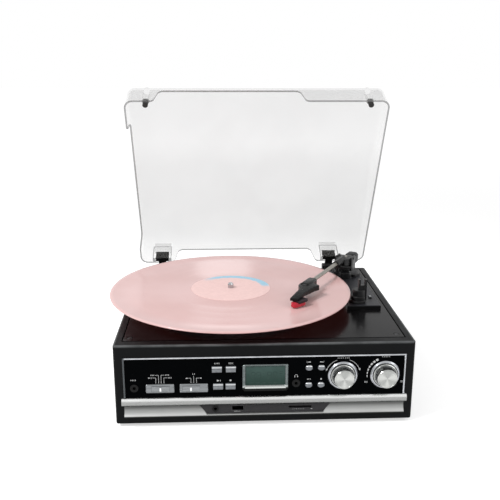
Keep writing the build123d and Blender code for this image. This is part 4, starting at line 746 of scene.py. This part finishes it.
# Two big knobs: a turned face of spun metal with a bright chamfer, on a chromed skirt with fine ribs for the
# fingers. Each turns in a chromed collar. Wedges of painted highlight and shade run round each face.
def brushed(name, dark, light, rough, lines=(0.02, 1.0, 1.0), line=0.35 * mm, metal=1.0):
    """A bright metal or metal paint with fine lines along one axis and a few dull patches."""
    material, w, where = new_material(name)
    brush = where.stretched(*lines).noise(line, 3.0)
    dull = where.noise(12.0 * mm, 3.0)
    tone = (brush * 0.5 + dull * 0.5).mix(dark, light)
    paint(w, tone, dull * 0.07 + rough, metal, relief=brush, depth=0.006 * mm)
    return material


chrome_trim = brushed("chrome_trim", shade(146, 148, 152), shade(188, 190, 194), 0.2, line=0.8 * mm)
finish(chrome_trim, "knob_collars")

knob_face, knob_lathe = -12.5, 5200.0
wedge_count, wedge_turn = 3.0, 0.6
knob_spun, w, where = new_material("knob_spun")
from_knobs = [where.distance(spot(x, 0.0, z), (1.0, 0.0, 1.0)) for x, z in (tuning, volume)]
spun = from_knobs[0].least(from_knobs[1]).rings(knob_lathe)
side = where.part("Y").between(behind(knob_face + 0.6), behind(knob_face + 1.4))
brush = where.stretched(1.0, 0.02, 1.0).noise(0.4 * mm, 2.0)
from_axes = [abs(where.part("X") - sideways(x)) for x, z in (tuning, volume)]
across = from_axes[0].least(from_axes[1])
turn = w.maths("ARCTAN2", where.part("Z") - level(tuning[1]), across)
# Painted highlights: the face goes lighter and darker in wedges round its middle, as light falls on spun
# metal.
wedge_highlights = (turn * wedge_count + wedge_turn).wave()
spun_and_highlights = spun * (1.0 - side) * 0.45 + wedge_highlights * (1.0 - side) * 0.55 + brush * side
dull = where.noise(10.0 * mm, 3.0)
knob_tone = spun_and_highlights.mix(shade(142, 144, 142), shade(196, 197, 194))
paint(w, knob_tone, dull * 0.06 + 0.2 + side * 0.02, metallic=1.0, relief=spun_and_highlights, depth=0.012 * mm)
finish(knob_spun, "tuning_knob", "volume_knob")


# The jacks, the power inlet and the rear plate: black mouldings with a fine grain. The two slots in the
# lower panel have thin steel shells.
jack_black, w, where = new_material("jack_black")
grain = where.noise(0.8 * mm, 3.0)
jack_tone = grain.mix(shade(8, 8, 8), shade(18, 18, 19))
paint(w, jack_tone, grain * 0.1 + 0.26, relief=grain, depth=0.015 * mm, Specular_IOR_Level=0.14)
finish(jack_black, "audio_jacks", "rca_sockets", "power_inlet", "rear_plate")
finish(brushed("socket_steel", shade(44, 44, 46), shade(84, 84, 86), 0.3), "usb_socket", "card_socket")


# Two printed circuit boards: green lacquer over woven glass, with copper tracks that show faintly through
# it. The main board lies on standoffs over the base, and the control board stands behind the front panel.
board_green, w, where = new_material("board_green")
board_cells = 160.0
cell_grid = {"Vector": where, "Scale": board_cells}
cells = w.node("ShaderNodeTexVoronoi", {"distance": "CHEBYCHEV"}, cell_grid, "Distance")
tracks = cells.between(0.3, 0.34)
weave = where.noise(0.5 * mm, 2.0)
board_tone = tracks.mix(weave.mix(shade(20, 74, 44), shade(26, 86, 52)), shade(40, 112, 70))
paint(w, board_tone, weave * 0.1 + 0.32, relief=tracks, depth=0.04 * mm)
finish(board_green, "control_board", "main_board")


# The platter is a casting of aluminium with a turned edge, under a ribbed rubber mat. It turns on a steel
# spindle in a brass bearing, and a rubber belt from the motor's brass pulley drives it.
lathe = 2600.0


def turned(name, dark, light, rough, centre):
    """A metal turned on a lathe about a standing axis: fine rings of changing tone."""
    material, w, where = new_material(name)
    rings = (where.distance(centre, (1.0, 1.0, 0.0)) + where.part("Z")).rings(lathe)
    dull = where.noise(8.0 * mm, 3.0)
    tone = (rings * 0.6 + dull * 0.4).mix(dark, light)
    paint(w, tone, dull * 0.1 + rough, metallic=1.0, relief=rings, depth=0.01 * mm)
    return material


record_middle = spot(-35.1, 142.4, 110.0)
motor_middle = spot(-97.0, 204.3, 60.0)
bearing_brass = turned("bearing_brass", shade(150, 118, 60), shade(196, 160, 92), 0.3, record_middle)
finish(turned("platter_cast", shade(120, 120, 122), shade(160, 160, 162), 0.34, record_middle), "platter")
finish(bearing_brass, "bearing_housing", "motor_pulley")
finish(turned("spindle_chrome", shade(150, 150, 152), shade(214, 214, 216), 0.12, record_middle), "spindle")
finish(turned("motor_steel", shade(112, 112, 114), shade(158, 158, 160), 0.34, motor_middle), "motor")

belt_rubber, w, where = new_material("belt_rubber")
chalk = where.noise(3.0 * mm, 4.0)
pores = where.noise(0.6 * mm)
paint(w, chalk.mix(shade(16, 16, 16), shade(40, 39, 38)), chalk * 0.1 + 0.6, relief=pores, depth=0.02 * mm)
finish(belt_rubber, "belt")

rib_pitch = 3.0 * mm
mat_rubber, w, where = new_material("mat_rubber")
ribs = (where.distance(record_middle, (1.0, 1.0, 0.0)) * (2 * pi / rib_pitch)).wave()
dust = where.noise(2.0 * mm, 4.0)
paint(w, dust.mix(shade(16, 16, 16), shade(34, 33, 32)), dust * 0.12 + 0.62, relief=ribs, depth=0.4 * mm)
finish(mat_rubber, "platter_mat")


# The record: pressed in pink vinyl. The disc is turned from one profile, with a raised rim, a thinner field
# of fine grooves parted by smooth bands, and the land under the labels. A faint red glow is painted on its
# underside, in place of the light that comes through the vinyl.
record_r, record_t, hole_r, record_foot = 150.8, 1.8, 3.65, 108.2
land_r, field_in, field_out, rim_in, rim_out = 52.0, 55.0, 145.3, 146.3, 150.2
groove_top, groove_low = 1.5, 0.3
groove_pitch, groove_depth = 0.9 * mm, 0.002 * mm
path_r, path_corners = 75.0, 300
track_gaps = (73.0, 91.0, 108.0, 126.0)
gap_half, gap_flat, gap_dip = 0.9, 0.4, 0.012
vinyl, w, where = new_material("vinyl")
reach = where.distance(record_middle, (1.0, 1.0, 0.0))
flow = where.noise(90.0 * mm, 2.0)
tone = flow.mix(shade(211, 172, 169), shade(218, 183, 181))
grooves = (reach * (2 * pi / groove_pitch)).wave()
field = reach.between((field_in - 1.5) * mm, field_in * mm)
field = field * reach.between((field_out - 0.8) * mm, (field_out + 0.7) * mm, 1.0, 0.0)
# Painted glow: the underside emits a faint red light.
under = where.part("Z").between(level(record_foot + 0.55), level(record_foot + 0.65), 1.0, 0.0)
paint(
    w,
    tone,
    flow * 0.04 + 0.17,
    relief=grooves * field,
    depth=groove_depth,
    Specular_IOR_Level=0.5,
    Emission_Color=under.mix((0.0, 0.0, 0.0, 1.0), (0.16, 0.03, 0.026, 1.0)),
    Emission_Strength=1.0,
)


def grown(name, sizes, build, material, outline=()):
    """A plain mesh grown from an outline by a Geometry Nodes tree.

    Sizes are the tree's named inputs, and build makes its geometry.
    """
    tree = bpy.data.node_groups.new(name, "GeometryNodeTree")
    tree.interface.new_socket("Outline", in_out="INPUT", socket_type="NodeSocketGeometry")
    tree.interface.new_socket("Geometry", in_out="OUTPUT", socket_type="NodeSocketGeometry")
    sockets = {}
    for key in sizes:
        size = tree.interface.new_socket(key, in_out="INPUT", socket_type="NodeSocketFloat")
        sockets[key] = size.identifier
    w = Wire(tree)
    given = {output.identifier: output for output in tree.nodes.new("NodeGroupInput").outputs}
    values = {key: Wire(tree, given[sockets[key]]) for key in sizes}
    values["outline"] = Wire(tree, next(iter(given.values())))
    shape = w.node("GeometryNodeRealizeInstances", (), {"Geometry": build(w, values)})
    shape = w.node("GeometryNodeSetMaterial", (), {"Geometry": shape, "Material": material})
    w.node("NodeGroupOutput", (), {"Geometry": shape})
    start = bpy.data.meshes.new(name)
    sides = [(i, (i + 1) % len(outline)) for i in range(len(outline))]
    start.from_pydata([(u, v, 0.0) for u, v in outline], sides, [])
    carrier = bpy.data.objects.new(name, start)
    bpy.context.scene.collection.objects.link(carrier)
    modifier = carrier.modifiers.new("grow", "NODES")
    modifier.node_group = tree
    for key, value in sizes.items():
        modifier[sockets[key]] = float(value)
    bpy.context.view_layer.update()
    evaluated = carrier.evaluated_get(bpy.context.evaluated_depsgraph_get())
    mesh = bpy.data.meshes.new_from_object(evaluated)
    carrier.modifiers.clear()
    carrier.data = mesh
    return carrier


def disc(w, values):
    """The outline is swept once round a circle about the spindle."""
    circle = {"Resolution": path_corners, "Radius": values["path"]}
    path = w.node("GeometryNodeCurvePrimitiveCircle", (), circle)
    side = w.node("GeometryNodeMeshToCurve", (), {"Mesh": values["outline"]})
    ring = w.node("GeometryNodeCurveToMesh", (), {"Curve": path, "Profile Curve": side})
    place = {"X": record_middle.x, "Y": record_middle.y, "Z": values["level"]}
    lift = w.node("ShaderNodeCombineXYZ", (), place)
    ring = w.node("GeometryNodeSetPosition", (), {"Geometry": ring, "Offset": lift})
    return w.node("GeometryNodeMergeByDistance", (), {"Geometry": ring, "Distance": 0.01 * mm})


outline = [(hole_r, 0.2), (land_r, 0.2), (field_in, groove_low), (field_out, groove_low)]
outline += [(rim_in, 0.0), (rim_out, 0.0), (record_r, 0.6), (record_r, 1.2)]
outline += [(rim_out, record_t), (rim_in, record_t), (field_out, groove_top)]
for radius in reversed(track_gaps):
    outline += [(radius + gap_half, groove_top), (radius + gap_flat, groove_top - gap_dip)]
    outline += [(radius - gap_flat, groove_top - gap_dip), (radius - gap_half, groove_top)]
outline += [(field_in, groove_top), (land_r, record_t), (hole_r, record_t)]
record_sizes = {"path": path_r * mm, "level": level(record_foot)}
record_side = [((radius - path_r) * mm, -rise * mm) for radius, rise in reversed(outline)]
settle(grown("record_disc", record_sizes, disc, vinyl, record_side), "record", "record")


# The record's label: paper in pale pink, with a plain pale blue crescent near the edge, pressed in with the
# disc. There is one on each side.
blue_in, blue_out = 40.5 * mm, 43.5 * mm
crescent_start, crescent_end = (0.0, 0.25), (1.9, 2.5)
label_print, w, where = new_material("label_print")
middle = where.vectors("SUBTRACT", record_middle)
reach = where.distance(record_middle, (1.0, 1.0, 0.0))
fibre = where.noise(0.6 * mm, 3.0)
spread = where.noise(4.0 * mm, 2.0)
angle = w.maths("ARCTAN2", middle.part("Y"), middle.part("X"))
sweep = angle.between(*crescent_start) * angle.between(*crescent_end, 1.0, 0.0)
blue = sweep * (reach + spread * (2.0 * mm)).between(blue_in, blue_out)
paper = spread.mix(shade(228, 194, 190), shade(234, 200, 196))
ink = fibre.mix(shade(146, 190, 212), shade(164, 204, 222))
paint(w, blue.mix(paper, ink), fibre * 0.1 + 0.5, relief=fibre, depth=0.02 * mm)
finish(label_print, "record_labels")


# The arm's raised plate: a grey moulding with a fine grain, whose front face is black, beside the platter.
# It is the node as it stands, and carries the arm's base and rest.
plate_top = 97.7
plate_grey, w, where = new_material("plate_grey")
grain = where.noise(0.8 * mm, 3.0)
top_face = where.part("Z").between(level(plate_top - 0.5), level(plate_top))
plate_tone = top_face.mix(shade(8, 8, 9), grain.mix(shade(30, 31, 34), shade(42, 43, 47)))
paint(w, plate_tone, grain * 0.08 + 0.36, relief=grain, depth=0.03 * mm, Specular_IOR_Level=0.14)
finish(plate_grey, "arm_plate")


# The tonearm: a gimbal of black moulded plastic, a grey lacquered tube, a dark iron weight on the stub, and
# a moulded headshell with a cartridge and a red stylus holder. The pieces that show most have their edges
# rounded over. The arm's rest, lift and lever and the lid's hinge leaves are of the same plastic.
def moulded(name, dark, light, rough, grain_size=0.7 * mm, depth=0.02 * mm, shine=0.22):
    """A moulded plastic with a fine grain and a few scuffs."""
    material, w, where = new_material(name)
    grain = where.noise(grain_size, 3.0)
    scuff = where.noise(6.0 * mm, 4.0)
    tone = (grain * 0.4 + scuff * 0.6).mix(dark, light)
    paint(w, tone, scuff * 0.12 + rough, relief=grain, depth=depth, Specular_IOR_Level=shine)
    return material


arm_plastic = moulded("arm_plastic", shade(14, 14, 15), shade(30, 30, 31), 0.28)
head_plastic = moulded("head_plastic", shade(7, 8, 8), shade(20, 21, 21), 0.24, shine=0.16)
cartridge_black = moulded("cartridge_black", shade(26, 16, 20), shade(42, 28, 34), 0.34)
stylus_red = moulded("stylus_red", shade(168, 34, 50), shade(196, 52, 66), 0.3)
weight_iron = moulded("weight_iron", shade(22, 22, 23), shade(44, 44, 46), 0.3, 1.2 * mm, 0.04 * mm)
tube_grey = (shade(128, 125, 118), shade(158, 154, 146))
tube_lacquer = brushed("tube_lacquer", *tube_grey, 0.3, lines=(1.0, 1.0, 1.0), line=2.0 * mm, metal=0.6)
finish(arm_plastic, "arm_base", "arm_yoke", "arm_block", "arm_rest", "lift_platform", "cue_lever")
finish(arm_plastic, "hinge_leaves")
finish(head_plastic, "headshell")
finish(cartridge_black, "cartridge")
finish(stylus_red, "stylus")
finish(weight_iron, "counterweight")
finish(tube_lacquer, "arm_tube")
sharp_bend = 35.0


def dressed(name, label, materials, kind=None, round_over=0.0):
    """A copy of a node's mesh with its loose triangles joined, and a material for each kind of face.

    Edges that bend more than sharp_bend degrees are rounded over by the given size in metres.
    """
    solid = bmesh.new()
    solid.from_mesh(nodes[name].data)
    bmesh.ops.remove_doubles(solid, verts=solid.verts, dist=0.01 * mm)
    bmesh.ops.dissolve_limit(solid, angle_limit=radians(1.0), verts=solid.verts, edges=solid.edges)
    if round_over:
        joined = [edge for edge in solid.edges if edge.is_manifold]
        sharp = [edge for edge in joined if edge.calc_face_angle(0.0) > radians(sharp_bend)]
        rounding = {"offset": round_over, "segments": 2, "profile": 0.5, "affect": "EDGES"}
        bmesh.ops.bevel(solid, geom=sharp, clamp_overlap=True, **rounding)
    if kind:
        for face in solid.faces:
            face.material_index = kind(face)
    piece = built(label, solid, materials[0], sharp_bend)
    for material in materials[1:]:
        piece.data.materials.append(material)
    return settle(piece, name, name)


edge_round = {
    "headshell": 0.35,
    "cartridge": 0.3,
    "stylus": 0.2,
    "counterweight": 0.5,
    "arm_yoke": 0.3,
    "arm_block": 0.3,
}
for name, size in edge_round.items():
    dressed(name, name + "_dressed", list(nodes[name].data.materials), round_over=size * mm)


# The lid: a clear moulded shell, open 63 degrees. The flat plastic is nearly clear, the walls show a little
# grey, and the cut rim, where the light runs along inside the plastic, is dark. The outline of each hinge
# pocket shows as a thin grey line on its front face.
hinge_line = spot(0.0, 290.2, 93.6)
lid_open = 63.4
lid_turn = Matrix.Rotation(radians(lid_open), 4, "X")
notch_top = 28.0 * mm
pocket_middle, pocket_apart = -9.75 * mm, 122.75 * mm
pocket_half, pocket_top = 12.1 * mm, 25.4 * mm
pocket_back, pocket_front = -19.6 * mm, -18.0 * mm
lid_low, lid_high = 110.0, 320.0


def clear_plastic(name, tone, cover, rough, pocket=0.0):
    """Clear plastic: the tone that it adds and how much of what is behind it covers.

    With pocket at 1 it has the lines of the hinge pockets, drawn on the lid as it lies shut.
    """
    material, w, where = new_material(name)
    haze = where.noise(70.0 * mm, 3.0)
    swirl = where.noise(12.0 * mm, 2.0)
    # Painted shade: the plastic's tone is darker towards the lid's lower edge.
    rise = where.part("Z").between(level(lid_low), level(lid_high))
    colour = (rise * 0.85 + haze * 0.15).mix(shade(tone - 76, tone - 77, tone - 80), shade(tone, tone, tone))
    from_hinge = where.vectors("SUBTRACT", hinge_line)
    turned_down = {"Vector": from_hinge, "Rotation": (radians(lid_open), 0.0, 0.0)}
    shut = w.node("ShaderNodeMapping", (), turned_down)
    away, height = shut.part("Y"), shut.part("Z")
    side = abs(abs(shut.part("X") - pocket_middle) - pocket_apart)
    below = height.between(pocket_top, pocket_top + 0.4 * mm, 1.0, 0.0)
    frame_in = side.between(pocket_half, pocket_half + 0.3 * mm) * below
    frame_top = height.between(pocket_top - 1.0 * mm, pocket_top - 0.7 * mm)
    frame_top = frame_top * height.between(pocket_top, pocket_top + 0.3 * mm, 1.0, 0.0)
    frame_out = side.between(pocket_half + 1.5 * mm, pocket_half + 1.8 * mm, 1.0, 0.0)
    frame_out = frame_out * away.between(pocket_back - 0.3 * mm, pocket_back)
    line = (frame_in + frame_top).least(1.0) * frame_out * pocket
    seen = (haze * 0.02 + cover) * (1.0 - line) + line * 0.7
    lined = line.mix(colour, shade(96, 98, 98))
    paint(w, lined, haze * 0.05 + rough, relief=swirl, depth=0.004 * mm, Alpha=seen)
    return material


lid_flat = clear_plastic("lid_flat", 142, 0.115, 0.1)
lid_wall = clear_plastic("lid_wall", 160, 0.13, 0.1)
lid_rim = clear_plastic("lid_rim", 104, 0.66, 0.2)
lid_pocket = clear_plastic("lid_pocket", 150, 0.1, 0.1, pocket=1.0)


def lid_part(face):
    """0 for the flat top, 1 for the walls, 2 for the cut rim and 3 for the pockets, told on the shut lid."""
    middle = lid_turn @ (face.calc_center_median() - hinge_line)
    normal = lid_turn @ face.normal
    if normal.z < -0.12 and middle.z < notch_top:
        return 2
    if normal.y < -0.9 and pocket_front - 1.0 * mm < middle.y < pocket_front:
        return 3
    return 0 if abs(normal.z) > 0.7 else 1


dressed("lid_shell", "clear_lid", (lid_flat, lid_wall, lid_rim, lid_pocket), lid_part)
